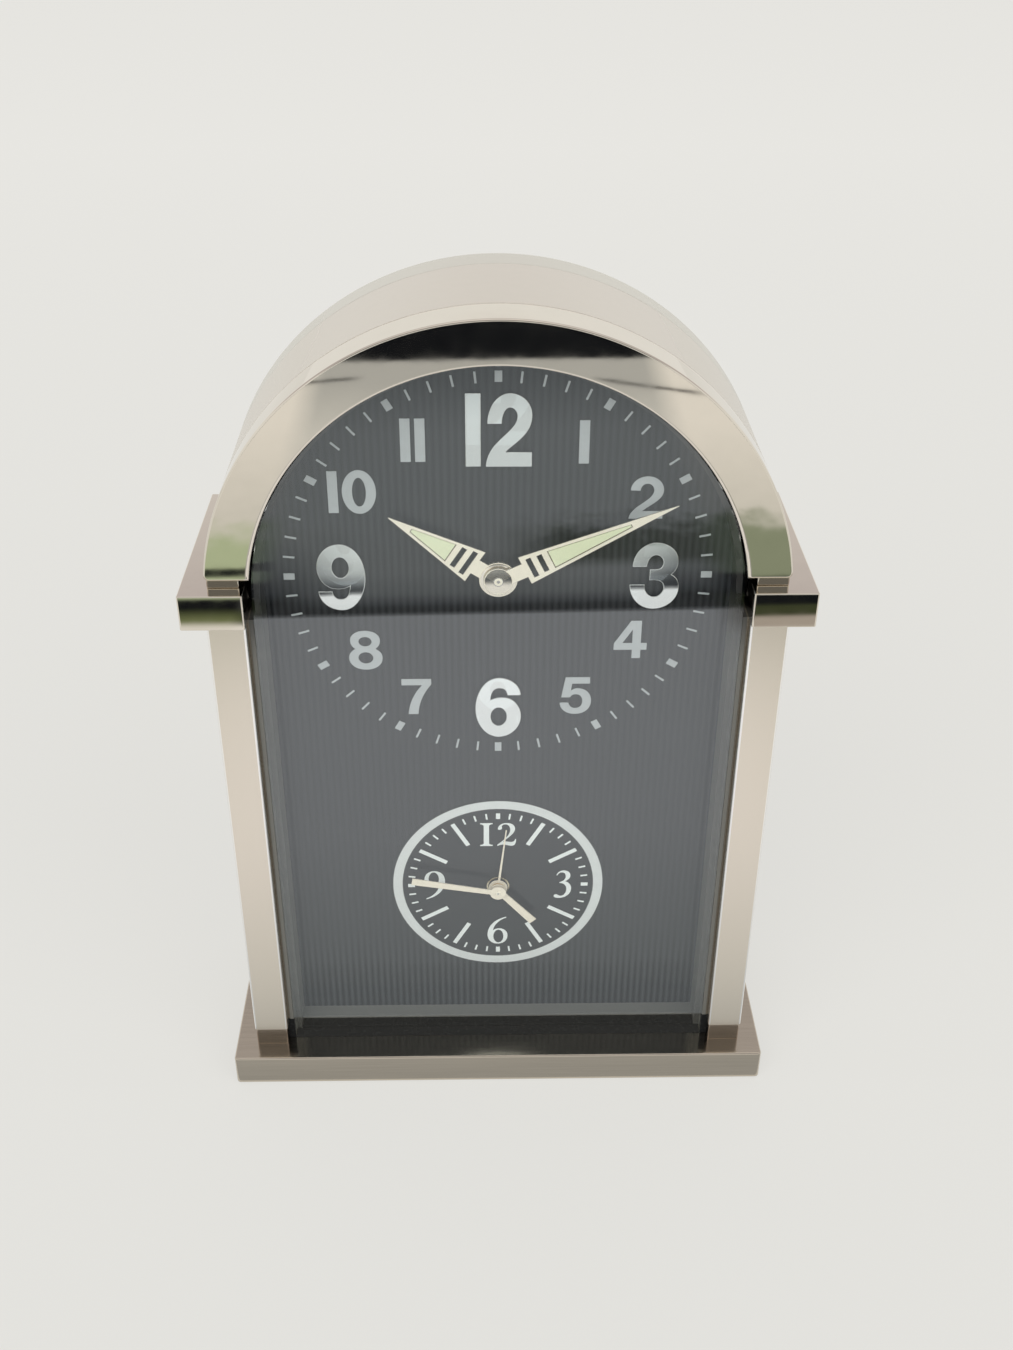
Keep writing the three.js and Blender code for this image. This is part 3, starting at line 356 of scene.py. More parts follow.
def add_piece(name, mesh, finish, body="case", replaced=()):
    """Puts a mesh given in mm into the scene in metres, on a body and in place of CAD nodes."""
    mesh.transform(Matrix.Scale(MM, 4))
    mesh.shade_smooth()
    mesh.set_sharp_from_angle(angle=SHARP_ANGLE)
    mesh.name = name
    mesh.materials.clear()
    mesh.materials.append(finishes[finish])
    piece = linked(name, mesh)
    flat_faces_stay_flat(piece)
    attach(piece, body)
    if replaced:
        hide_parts(*replaced)
    return piece


def mesh_from(build, name="piece"):
    mesh = bpy.data.meshes.new(name)
    bmesh.ops.recalc_face_normals(build, faces=build.faces)
    build.to_mesh(mesh)
    build.free()
    return mesh


def cube_between(low, high):
    build = bmesh.new()
    low, high = Vector(low), Vector(high)
    bmesh.ops.create_cube(build, size=1)
    bmesh.ops.scale(build, vec=high - low, verts=build.verts)
    bmesh.ops.translate(build, vec=(high + low) / 2, verts=build.verts)
    return build


def rounded_box(low, high, corner, edge, steps=3, pocket=None):
    """Block with round upright corners and softened top and bottom edges. pocket is the inset and
    depth of a recess underneath."""
    build = cube_between(low, high)
    half_height = (high[2] - low[2]) / 2
    upright = [e for e in build.edges if abs((e.verts[0].co - e.verts[1].co).z) > half_height]
    bmesh.ops.bevel(build, geom=upright, offset=corner, segments=steps + 2, profile=0.5, affect="EDGES")
    flat = [f for f in build.faces if abs(f.normal.z) > 0.9]
    rims = {e for face in flat for e in face.edges}
    bmesh.ops.bevel(build, geom=list(rims), offset=edge, segments=steps, profile=0.5, affect="EDGES")
    if pocket:
        inset, depth = pocket
        below = min(build.faces, key=lambda face: face.calc_center_median().z)
        bmesh.ops.inset_region(build, faces=[below], thickness=inset - edge)
        raised = bmesh.ops.extrude_face_region(build, geom=[below])
        build.faces.remove(below)
        moved = [item for item in raised["geom"] if isinstance(item, bmesh.types.BMVert)]
        bmesh.ops.translate(build, vec=(0, 0, depth), verts=moved)
    return mesh_from(build)


def block_for(node, finish, corner, edge, pocket=None):
    block = rounded_box(*box_of(node), corner, edge, pocket=pocket)
    return add_piece(node + "_shaped", block, finish, "case", (node,))


def finish_edges(piece, finish):
    """Gives the softened edges of a block a finish of their own."""
    piece.data.materials.append(finishes[finish])
    for face in piece.data.polygons:
        face.material_index = int(max(abs(part) for part in face.normal) < 0.999)


class Outline:
    """Closed outline in the plane of the dial, drawn point by point in mm."""

    def __init__(self, x, z):
        self.points = [(x, z)]

    def line(self, *places):
        self.points.extend(places)
        return self

    def arc(self, cx, cz, rx, rz, start, end, steps=ARC_STEPS):
        for step in range(steps + 1):
            angle = math.radians(start + (end - start) * step / steps)
            self.points.append((cx + rx * math.cos(angle), cz + rz * math.sin(angle)))
        return self

    def curve(self, *handles, steps=ARC_STEPS):
        """Bezier curve from the last point: two places make it quadratic, three cubic."""
        ends = [self.points[-1], *handles]
        for step in range(1, steps + 1):
            level = [Vector(place) for place in ends]
            t = step / steps
            while len(level) > 1:
                level = [a.lerp(b, t) for a, b in zip(level, level[1:])]
            self.points.append(tuple(level[0]))
        return self


def ellipse(cx, cz, rx, rz, steps=ROUND_STEPS):
    angles = [2 * math.pi * step / steps for step in range(steps)]
    return [(cx + rx * math.cos(a), cz + rz * math.sin(a)) for a in angles]


def rectangle(x0, z0, x1, z1):
    return [(x0, z0), (x1, z0), (x1, z1), (x0, z1)]


def tidied(points):
    """The outline without points that lie on the one before."""
    kept = []
    for point in points:
        if not kept or (Vector(point) - Vector(kept[-1])).length > 1e-4:
            kept.append(point)
    if (Vector(kept[0]) - Vector(kept[-1])).length < 1e-4:
        kept.pop()
    return kept


def traced(start, *strokes):
    """Points of an outline from its start on: two numbers are a line to a place, four and six a curve
    whose last two are its end, and "arc" goes with what Outline.arc takes."""
    shape = Outline(*start)
    for stroke in strokes:
        if stroke[0] == "arc":
            shape.arc(*stroke[1:])
        elif len(stroke) == 2:
            shape.line(stroke)
        else:
            shape.curve(*zip(stroke[::2], stroke[1::2]))
    return shape.points


def standing(name, outlines, front, rear, bevel=0.0, bevel_steps=2, centre=(0.0, 0.0), turn=0.0):
    """Mesh of upright outlines (holes among them) between two depths, with softened rims. turn is
    in degrees clockwise as seen from the front, about the centre."""
    curve = bpy.data.curves.new(name, "CURVE")
    curve.dimensions = "2D"
    curve.fill_mode = "BOTH"
    for outline in outlines:
        points = tidied(outline)
        spline = curve.splines.new("POLY")
        spline.points.add(len(points) - 1)
        for point, (x, z) in zip(spline.points, points):
            point.co = (x, z, 0, 1)
        spline.use_cyclic_u = True
    curve.extrude = (rear - front) / 2 - bevel
    curve.bevel_depth = bevel
    curve.bevel_resolution = bevel_steps
    curve.offset = -bevel
    source = linked(name, curve)
    shown = source.evaluated_get(bpy.context.evaluated_depsgraph_get())
    mesh = bpy.data.meshes.new_from_object(shown)
    bpy.data.objects.remove(source)
    bpy.data.curves.remove(curve)
    placed = Matrix.Translation((centre[0], (front + rear) / 2, centre[1]))
    turned = Matrix.Rotation(math.radians(turn), 4, "Y")
    raised = Matrix.Rotation(math.radians(90), 4, "X")
    mesh.transform(placed @ turned @ raised)
    build = bmesh.new()
    build.from_mesh(mesh)
    bpy.data.meshes.remove(mesh)
    bmesh.ops.remove_doubles(build, verts=build.verts, dist=1e-4)
    bmesh.ops.dissolve_limit(build, angle_limit=math.radians(0.3), verts=build.verts, edges=build.edges)
    return mesh_from(build, name)


def joined(meshes, name):
    build = bmesh.new()
    for mesh in meshes:
        build.from_mesh(mesh)
        bpy.data.meshes.remove(mesh)
    return mesh_from(build, name)


def turned_mesh(name, profile, centre, steps=64):
    """Solid of revolution about the y axis from [radius, depth] points that start and end on it."""
    build = bmesh.new()
    rings = []
    for radius, depth in profile:
        if radius < 1e-6:
            rings.append([build.verts.new((centre[0], depth, centre[1]))])
            continue
        angles = [2 * math.pi * step / steps for step in range(steps)]
        rings.append([
            build.verts.new((centre[0] + radius * math.cos(a), depth, centre[1] + radius * math.sin(a)))
            for a in angles
        ])
    for near, far in zip(rings, rings[1:]):
        for step in range(steps):
            after = (step + 1) % steps
            if len(near) == 1:
                build.faces.new((near[0], far[step], far[after]))
            elif len(far) == 1:
                build.faces.new((near[step], far[0], near[after]))
            else:
                build.faces.new((near[step], far[step], far[after], near[after]))
    return mesh_from(build, name)


def cut(piece, *cutters):
    """Cuts closed meshes given in mm out of a piece, for good."""
    for mesh in cutters:
        mesh.transform(Matrix.Scale(MM, 4))
        tool = linked("cutter", mesh)
        step = piece.modifiers.new("cut", "BOOLEAN")
        step.operation = "DIFFERENCE"
        step.solver = "EXACT"
        step.object = tool
        bpy.context.view_layer.update()
        shown = piece.evaluated_get(bpy.context.evaluated_depsgraph_get())
        result = bpy.data.meshes.new_from_object(shown)
        piece.modifiers.clear()
        old = piece.data
        piece.data = result
        bpy.data.meshes.remove(old)
        bpy.data.objects.remove(tool)
        bpy.data.meshes.remove(mesh)
        result.set_sharp_from_angle(angle=SHARP_ANGLE)
    return piece


# Case: base, blocks on each side, and the three arches

FELT_GAP = 0.15
# Blocks on each side: node, finish, rounds of the upright and of the other edges, slot, and finish of
# the edges. The pillars' edges are whiter than the pillars: a painted highlight.
SIDE_BLOCKS = [
    ("foot_block_", "foot", 0.3, 0.12, "foot_dark", None),
    ("pillar_", "champagne", 0.45, 0.2, "champagne_satin", "painted_highlight_edge"),
    ("capital_", "nickel", 0.35, 0.22, "polished_nickel", None),
    # The imposts' finish is a copy of the polished nickel darkened with painted shade
    ("impost_", "impost", 0.3, 0.24, "polished_nickel", None),
]


def make_case():
    felt_low, felt_high = box_of("base_felt")
    base_low = box_of("base_plate")[0]
    pocket = (felt_low.x - base_low.x - FELT_GAP, felt_high.z - base_low.z)
    block_for("base_plate", "gunmetal", 0.9, 0.45, pocket)
    for side in ("left", "right"):
        for node, finish, corner, edge, slot, edge_finish in SIDE_BLOCKS:
            block = block_for(node + side, finish, corner, edge)
            if edge_finish:
                finish_edges(block, edge_finish)


# Arches: node, finish, softening of the rims, round of the feet, slot. The shell and the rear arch take
# copies of the champagne satin that are darkened with painted shade.
ARCHES = [
    ("front_arch", "nickel", 0.42, 1.4, "polished_nickel"),
    ("arch_shell", "shaded_arch_band", 0.12, 0.3, "champagne_satin"),
    ("rear_arch", "shaded_rear_band", 0.3, 0.8, "champagne_satin"),
]
ARCH_INNER = PLATE_HALF + 0.2
FOOT_STEPS = 6
INNER_CHAMFER = 0.75
INNER_CHAMFER_DEPTH = 0.25
# Lugs that take the upper cover screws: angle from the top, half width, depths, screw's radius and
# its distance from the inside of the shell, and how far the lug goes past these
LUG_TURN = 40
LUG_HALF = 4.0
LUG_FRONT = 3.4
LUG_REAR = 9.9
LUG_SCREW = 1.2
LUG_SCREW_IN = 3.2
LUG_BELOW = 2
LUG_ABOVE = 1


def arch_ring(foot_round):
    """Outline of the arch ring; the outer corner of each foot has a small round."""
    low, high = box_of("front_arch")
    outer = high.x
    rise_centre = high.z - outer
    outer_rise = low.z - rise_centre
    start = math.degrees(math.asin(outer_rise / outer))
    inner_start = math.degrees(math.asin(outer_rise / ARCH_INNER))
    corner_x = outer * math.cos(math.radians(start))
    skip = math.degrees(foot_round / outer)
    ring = Outline(corner_x - foot_round, low.z)
    ring.curve((corner_x, low.z), (
        outer * math.cos(math.radians(start + skip)),
        rise_centre + outer * math.sin(math.radians(start + skip)),
    ), steps=FOOT_STEPS)
    ring.arc(0, rise_centre, outer, outer, start + skip, 180 - start - skip, ARCH_STEPS)
    ring.curve((-corner_x, low.z), (foot_round - corner_x, low.z), steps=FOOT_STEPS)
    ring.arc(0, rise_centre, ARCH_INNER, ARCH_INNER, 180 - inner_start, inner_start, ARCH_STEPS)
    return ring.points


def make_lug(side):
    """Block inside the arch shell that takes one of the upper cover screws."""
    screw_at = PLATE_HALF - LUG_SCREW_IN
    block = rectangle(-LUG_HALF, screw_at - LUG_BELOW, LUG_HALF, PLATE_HALF + LUG_ABOVE)
    hole = ellipse(0, screw_at, LUG_SCREW, LUG_SCREW, 32)
    return standing("lug", [block, hole], LUG_FRONT, LUG_REAR, 0.1, 1, (0.0, PLATE_CENTRE), side * LUG_TURN)


def chamfer_inside(arch, front):
    """Takes a shallow chamfer off the front arch, along its opening."""
    slope = INNER_CHAMFER / INNER_CHAMFER_DEPTH
    rear = front + INNER_CHAMFER_DEPTH + 1
    cone = [
        (0, front - 1), (ARCH_INNER + INNER_CHAMFER + slope, front - 1),
        (ARCH_INNER - slope, rear), (0, rear),
    ]
    cut(arch, turned_mesh("cone", cone, (0.0, PLATE_CENTRE), 4 * ARCH_STEPS))
    flat_faces_stay_flat(arch)


def make_arches():
    for node, finish, bevel, foot_round, slot in ARCHES:
        low, high = box_of(node)
        mesh = standing(node, [arch_ring(foot_round)], low.y, high.y, bevel)
        if node == "arch_shell":
            mesh = joined([mesh, make_lug(-1), make_lug(1)], node)
        arch = add_piece(node + "_shaped", mesh, finish, "case", (node,))
        if node == "front_arch":
            chamfer_inside(arch, low.y)


# Dial: fine upright ribs, applied numerals and prints

BUSH_GAP = 0.2


def plate_top_at(x):
    return PLATE_CENTRE + math.sqrt(max(0.0, PLATE_HALF ** 2 - x ** 2))


def bush_radius(node, centre):
    """Radius of the bush of a movement case, read where it stands in front of the dial."""
    ahead = [v.co / MM for v in nodes[node].data.vertices if v.co.y / MM < DIAL_Y - 0.1]
    return max(math.hypot(p.x - centre.x, p.z - centre.z) for p in ahead)


def make_dial_plate():
    low, high = box_of("dial_plate")
    count = int(2 * PLATE_HALF / RIB_PITCH * RIB_COLUMNS)
    build = bmesh.new()
    columns = []
    for step in range(count + 1):
        x = -PLATE_HALF + 2 * PLATE_HALF * step / count
        sunk = RIB_DEPTH * (0.5 - 0.5 * math.cos(2 * math.pi * x / RIB_PITCH))
        places = [(x, low.y + sunk, PLATE_BOTTOM), (x, low.y + sunk, plate_top_at(x))]
        places += [(x, high.y, place[2]) for place in reversed(places)]
        columns.append([build.verts.new(place) for place in places])
    for near, far in zip(columns, columns[1:]):
        for corner in range(4):
            after = (corner + 1) % 4
            build.faces.new((near[corner], far[corner], far[after], near[after]))
    for column in (columns[0], columns[-1]):
        build.faces.new(column)
    mesh = mesh_from(build)
    plate = add_piece("dial_plate_ribbed", mesh, "dial", "case", ("dial_plate",))
    cutters = []
    for node, centre in (("main_movement_case", MAIN), ("alarm_movement_case", ALARM)):
        radius = bush_radius(node, centre) + BUSH_GAP
        profile = [(0, low.y - 1), (radius, low.y - 1), (radius, high.y + 1), (0, high.y + 1)]
        cutters.append(turned_mesh("bush_hole", profile, (centre.x, centre.z)))
    cut(plate, *cutters)


NUMERAL_BEVEL = 0.16
APPLIED_TWO = [traced(
    (-3.94, 1.22), ("arc", 0.16, 1.22, 4.1, 5.92, 180, 90), ("arc", 0.16, 2.77, 4.08, 4.37, 90, 0),
    (4.24, -0.9, 0.9, -2.6, -0.58, -4.23), (4.24, -4.23), (4.24, -7.14), (-4.24, -7.14),
    (-4.1, -2, 1.5, -0.4, 1.5, 2.62), ("arc", 0.16, 2.62, 1.34, 1.7, 0, 90),
    ("arc", 0.16, 1.22, 1.42, 3.1, 90, 180),
)]
APPLIED_THREE = [traced(
    (-4.39, 2), ("arc", 0, 2, 4.39, 5.22, 180, 90), ("arc", 0, 3.15, 4.39, 4.07, 90, 0),
    (4.39, 1.2, 3.2, 0.4), (4.78, -0.4, 4.78, -2.66), ("arc", 0, -2.66, 4.78, 4.56, 0, -90),
    ("arc", 0, -1.77, 4.78, 5.45, -90, -180), (-1.86, -1.77), ("arc", 0, -1.77, 1.86, 2.68, 180, 270),
    ("arc", 0, -2.5, 1.77, 1.95, 270, 360), (1.77, -0.9, -0.1, -0.9), (-1.05, -0.9), (-1.05, 1.5), (0, 1.5),
    (1.47, 1.5, 1.47, 2.9), ("arc", 0, 2.9, 1.47, 1.58, 0, 90), ("arc", 0, 2, 1.56, 2.48, 90, 180),
)]
APPLIED_SIX = [traced(
    (1.8, 2.95), (4.57, 2.95), ("arc", 0.1, 2.95, 4.47, 4.22, 0, 90),
    ("arc", 0.1, -0.3, 4.75, 7.47, 90, 180), ("arc", 0.1, -0.3, 4.75, 6.87, 180, 270),
    ("arc", 0.1, -2.1, 4.55, 5.07, 270, 360), ("arc", 1, -2.1, 3.65, 4.6, 0, 90),
    (-0.5, 2.6, -1.53, 1.9), (-1.35, 4.64, 0.25, 4.64),
    (1.7, 4.64, 1.8, 2.95),
), ellipse(0.1, -2.17, 1.58, 2.16, 48)]


def applied(node, outlines, x, z, turn=0.0):
    low, high = box_of(node)
    mesh = standing(node, outlines, low.y, high.y, NUMERAL_BEVEL, 2, (x, z), turn)
    add_piece(node + "_applied", mesh, "chrome", "case", (node,))


def make_applied_numerals():
    low, high = box_of("numeral_twelve_one")
    half = (high - low) / 2
    centre = (low + high) / 2
    ring = centre.z - MAIN.z
    applied("numeral_twelve_one", [rectangle(-half.x, -half.z, half.x, half.z)], centre.x, centre.z)
    applied("numeral_twelve_two", APPLIED_TWO, middle("numeral_twelve_two").x, MAIN.z + ring)
    applied("numeral_three", APPLIED_THREE, MAIN.x + ring, MAIN.z)
    applied("numeral_six", APPLIED_SIX, MAIN.x, MAIN.z - ring)
    applied("numeral_nine", APPLIED_SIX, MAIN.x - ring, MAIN.z, 180)


PRINT_FRONT = DIAL_Y - 0.03
PRINT_REAR = DIAL_Y + RIB_DEPTH + 0.02


def mirrored(right_half):
    """Closed outline from its right half, given from top to bottom."""
    return right_half + [(-x, z) for x, z in reversed(right_half)]


PRINTED_ZERO = [ellipse(0, 0, 3.15, 4.42), ellipse(0, -0.03, 1.28, 2.93)]
PRINTED_ONE = [rectangle(-0.93, -4.22, 0.93, 4.22)]
PRINTED_TWO = [traced(
    (-3.0, 1.5), ("arc", 0.08, 1.5, 3.08, 2.81, 180, 0, 2 * ARC_STEPS), (3.16, -0.5, 0.9, -1.3, -0.75, -2.78),
    (3.17, -2.78), (3.17, -4.31), (-3.17, -4.31), (-3.0, -1.7, 1.36, -0.7, 1.36, 1.42),
    ("arc", 0.08, 1.42, 1.28, 1.42, 0, 180, 2 * ARC_STEPS),
)]
PRINTED_FOUR = [[
    (2.07, 4.27), (0, 4.27), (-3.26, -0.9), (-3.26, -2.34), (0.37, -2.34), (0.37, -4.27),
    (2.07, -4.27), (2.07, -2.34), (3.26, -2.34), (3.26, -0.79), (2.07, -0.79),
], [(0.37, 2.28), (-1.59, -0.79), (0.37, -0.79)]]
PRINTED_FIVE = [traced(
    (-2.08, 4.39), (2.83, 4.39), (2.83, 2.90), (-0.74, 2.90), (-0.98, 1.12), (-0.45, 1.77, 0.30, 1.77),
    (2.1, 1.77, 3.18, 0.5, 3.18, -1.26), (3.18, -3.2, 1.8, -4.39, 0, -4.39),
    (-1.9, -4.39, -3.1, -3.2, -3.18, -1.65), (-1.40, -1.65), (-1.3, -2.5, -0.75, -2.96, 0, -2.96),
    (0.95, -2.96, 1.40, -2.3, 1.40, -1.26), (1.40, -0.25, 0.9, 0.37, 0, 0.37), (-0.75, 0.37, -1.10, -0.37),
    (-2.89, -0.37),
)]
PRINTED_SEVEN = [traced(
    (-2.98, 4.20), (2.98, 4.20), (2.98, 2.9), (0.45, -0.3, 0.24, -4.2), (-1.76, -4.2),
    (-1.4, -0.2, 1.15, 2.74), (-2.98, 2.74),
)]
PRINTED_EIGHT = [mirrored(traced(
    (0, 4.46), (1.75, 4.46, 2.93, 3.55, 2.93, 2.25), (2.93, 1.35, 2.5, 0.75, 1.95, 0.33),
    (2.75, -0.1, 3.3, -0.8, 3.3, -1.75), (3.3, -3.4, 1.9, -4.46, 0, -4.46),
)), ellipse(0, 2.0, 1.29, 1.08), ellipse(0, -1.73, 1.46, 1.31)]
# Each printed hour: outlines and centre of each digit in mm from the axis of the hands, and its turn
PRINTED = {
    "one": [(PRINTED_ONE, 15.67, 27.4, 0)],
    "two": [(PRINTED_TWO, 27.6, 16.25, 0)],
    "four": [(PRINTED_FOUR, 26.1, -14.5, 0)],
    "five": [(PRINTED_FIVE, 15.62, -27.62, 0)],
    "seven": [(PRINTED_SEVEN, -16.4, -27.6, 0)],
    "eight": [(PRINTED_EIGHT, -26.2, -16.62, 0)],
    "ten": [(PRINTED_ONE, -30.67, 17.6, 0), (PRINTED_ZERO, -25.8, 17.62, 0)],
    "eleven": [(PRINTED_ONE, -16.95, 27.85, 0), (PRINTED_ONE, -14.27, 27.85, 0)],
}
TICK_RADIUS = 40.0
TICK_LENGTH = 2.2
TICK_WIDTH = 0.4
HOUR_TICK_LENGTH = 2.1
HOUR_TICK_WIDTH = 1.35


def ray_mark(width, inner, outer, turn, centre):
    """Upright rectangle turned clockwise about a centre, as an outline."""
    angle = math.radians(turn)
    return [
        (
            centre.x + x * math.cos(angle) + z * math.sin(angle),
            centre.z - x * math.sin(angle) + z * math.cos(angle),
        )
        for x, z in rectangle(-width / 2, inner, width / 2, outer)
    ]


def print_numerals(table, prefix, finish, front, centre):
    for name, digits in table.items():
        meshes = [
            standing(name, outlines, front, PRINT_REAR, centre=(centre.x + x, centre.z + z), turn=turn)
            for outlines, x, z, turn in digits
        ]
        add_piece(prefix + name, joined(meshes, name), finish)


def make_prints():
    print_numerals(PRINTED, "printed_", "print", PRINT_FRONT, MAIN)
    ticks = []
    for minute in range(60):
        long, wide = (HOUR_TICK_LENGTH, HOUR_TICK_WIDTH) if minute % 5 == 0 else (TICK_LENGTH, TICK_WIDTH)
        ticks.append(ray_mark(wide, TICK_RADIUS - long / 2, TICK_RADIUS + long / 2, minute * 6, MAIN))
    add_piece("minute_track", standing("ticks", ticks, PRINT_FRONT, PRINT_REAR), "print")


# Alarm dial: smooth disc, white ring with dark outlines, marks and serif numerals

DISC_FRONT = DIAL_Y - 0.04
INK_FRONT = DIAL_Y - 0.055
WHITE_FRONT = DIAL_Y - 0.07
RING_INNER = 20.9
RING_OUTER = 22.95
OUTLINE_WIDTH = 0.22
DISC_OUTER = RING_OUTER + OUTLINE_WIDTH
SERIF_ONE = [mirrored(traced(
    (1.35, 3.1), (1.35, 2.82), (0.62, 2.75, 0.58, 2.35), (0.58, -2.35), (0.62, -2.75, 1.35, -2.82),
    (1.35, -3.1),
))]
SERIF_TWO = [traced(
    (-1.9, 1.45), (-1.85, 2.5, -1.05, 3.1, 0.05, 3.1), (1.15, 3.1, 1.8, 2.4, 1.8, 1.5),
    (1.8, 0.3, 0.3, -0.9, -0.85, -2.0), (-0.2, -1.75, 0.35, -2.05, 0.95, -2.05),
    (1.5, -2.05, 1.75, -1.75, 1.85, -1.2), (2.05, -1.25), (2.0, -2.3, 1.85, -3.1, 1.1, -3.1),
    (0.4, -3.1, -0.3, -2.65, -0.95, -2.75), (-1.3, -2.8, -1.6, -2.95, -2.0, -3.1), (-2.05, -2.85),
    (-0.7, -1.6, 0.75, -0.3, 0.75, 1.3), (0.75, 2.15, 0.35, 2.75, -0.3, 2.75),
    (-0.75, 2.75, -1.05, 2.5, -1.05, 2.1), (-0.75, 1.4, -1.5, 1.05, -1.9, 1.45),
)]
SERIF_THREE = [traced(
    (-1.45, 2.55), (-1.2, 3.45, -0.6, 3.9, 0.1, 3.9), (1.05, 3.9, 1.6, 3.3, 1.6, 2.5),
    (1.6, 1.65, 1.1, 1.2, 0.45, 0.85), (1.3, 0.55, 1.85, -0.2, 1.85, -1.2),
    (1.85, -2.9, 0.6, -3.9, -0.85, -3.9), (-1.55, -3.9, -1.95, -3.65, -1.95, -3.3),
    (-1.95, -2.9, -1.4, -2.75, -1.1, -3.0),
    (-0.6, -3.45, -0.1, -3.35, 0.2, -3.05), (0.65, -2.6, 0.8, -2.0, 0.8, -1.35),
    (0.8, -0.3, 0.2, 0.3, -0.75, 0.4), (-0.75, 0.6), (0.2, 0.9, 0.6, 1.5, 0.6, 2.25),
    (0.6, 3.0, 0.25, 3.35, -0.3, 3.35), (-0.75, 3.35, -1.1, 3.0, -1.25, 2.5),
)]
SERIF_SIX = [traced(
    (1.95, 3.95), (-0.6, 3.3, -2.2, 1.3, -2.25, -1.2), (-2.25, -2.9, -1.3, -4.0, 0, -4.0),
    (1.35, -4.0, 2.25, -3.0, 2.25, -1.6), (2.25, -0.3, 1.5, 0.55, 0.4, 0.55),
    (-0.2, 0.55, -0.65, 0.35, -1.0, -0.05), (-0.85, 1.6, 0.4, 3.1, 1.95, 3.72),
), ellipse(0.2, -1.75, 1.12, 1.9, 48)]
# Serif numerals: outlines, centre in mm from the axis, and turn
SERIF = {
    "twelve": [(SERIF_ONE, -2.5, 14.0, 0), (SERIF_TWO, 1.85, 14.0, 0)],
    "three": [(SERIF_THREE, 14.25, 0.0, 0)],
    "six": [(SERIF_SIX, -0.1, -13.25, 0)],
    "nine": [(SERIF_SIX, -13.85, 0.0, 180)],
}
ALARM_MARKS = 48
ALARM_TRACK = (18.2, 19.7)
ALARM_BARS = (12.8, 19.5)
ALARM_TICK_WIDTH = 0.4
ALARM_BAR_WIDTH = 0.95
ALARM_BLOCK_WIDTH = 0.9


def add_rings(name, outer, inner, front, finish, inner_steps):
    rings = [ellipse(0, 0, outer, outer, 2 * ROUND_STEPS), ellipse(0, 0, inner, inner, inner_steps)]
    mesh = standing(name, rings, front, PRINT_REAR, centre=(ALARM.x, ALARM.z))
    add_piece(name, mesh, finish)


def make_alarm_dial():
    hole = bush_radius("alarm_movement_case", ALARM) + BUSH_GAP
    add_rings("alarm_dial_disc", DISC_OUTER, hole, DISC_FRONT, "smooth_dial", 48)
    inked = RING_INNER - OUTLINE_WIDTH
    add_rings("alarm_ring_outline", DISC_OUTER, inked, INK_FRONT, "ink", 2 * ROUND_STEPS)
    add_rings("alarm_ring", RING_OUTER, RING_INNER, WHITE_FRONT, "ring", 2 * ROUND_STEPS)
    marks = []
    for index in range(ALARM_MARKS):
        inner, outer = ALARM_TRACK
        width = ALARM_TICK_WIDTH
        if index % (ALARM_MARKS // 4) == 0:
            width = ALARM_BLOCK_WIDTH
        elif index % (ALARM_MARKS // 12) == 0:
            inner, outer = ALARM_BARS
            width = ALARM_BAR_WIDTH
        marks.append(ray_mark(width, inner, outer, index * 360 / ALARM_MARKS, ALARM))
    add_piece("alarm_track", standing("marks", marks, WHITE_FRONT, PRINT_REAR), "white")
    print_numerals(SERIF, "alarm_numeral_", "white", WHITE_FRONT, ALARM)


# Hands: sizes in mm from the axis, and angles clockwise from twelve

HAND_POINT = 0.24
SLOT_WIDTH = 0.95
FIRST_SLOT = 1.6
SLOT_PITCH = 2.2
SPEARS = {
    "minute_hand": dict(
        hub=2.85, neck=3.1, shoulder=6.3, shoulder_at=5.5, length=37.0, slot_rim=0.93, window_rim=0.7,
        window_tip=0.5, angle=64.8, body="main_minute", disc=0.06, lean=0.010,
    ),
    "hour_hand": dict(
        hub=3.72, neck=3.3, shoulder=7.4, shoulder_at=5.2, length=24.4, slot_rim=0.75, window_rim=0.6,
        window_tip=0.7, angle=302.8, body="main_hour", disc=0.1, lean=0.021,
    ),
}
SPEAR_BEVEL = 0.1
BATONS = {
    "alarm_minute_hand": dict(hub=1.76, root=1.25, tip=1.7, length=19.0, angle=280.5, body="alarm_minute"),
    "alarm_hour_hand": dict(hub=1.7, root=1.5, tip=1.85, length=11.8, angle=139.0, body="alarm_hour"),
    "alarm_hand": dict(hub=2.05, root=0.5, tip=0.26, length=16.0, angle=6.3, body="alarm_indicator"),
}
BATON_BEVEL = 0.07
# Polished disc on a spear's hub: how far its rim lies inside the hub in front and behind, and how far
# it is sunk into the hand
DISC_RIM_FRONT = 0.26
DISC_RIM_REAR = 0.2
DISC_SUNK = 0.02
# Luminous inset of a spear: gap to its window and softening. Its dark bed goes past the window by the
# overlap and lies between two distances from the hand's rear.
LUME_GAP = 0.12
LUME_BEVEL = 0.05
BED_OVERLAP = 0.05
BED_FRONT = 0.12
BED_REAR = 0.04


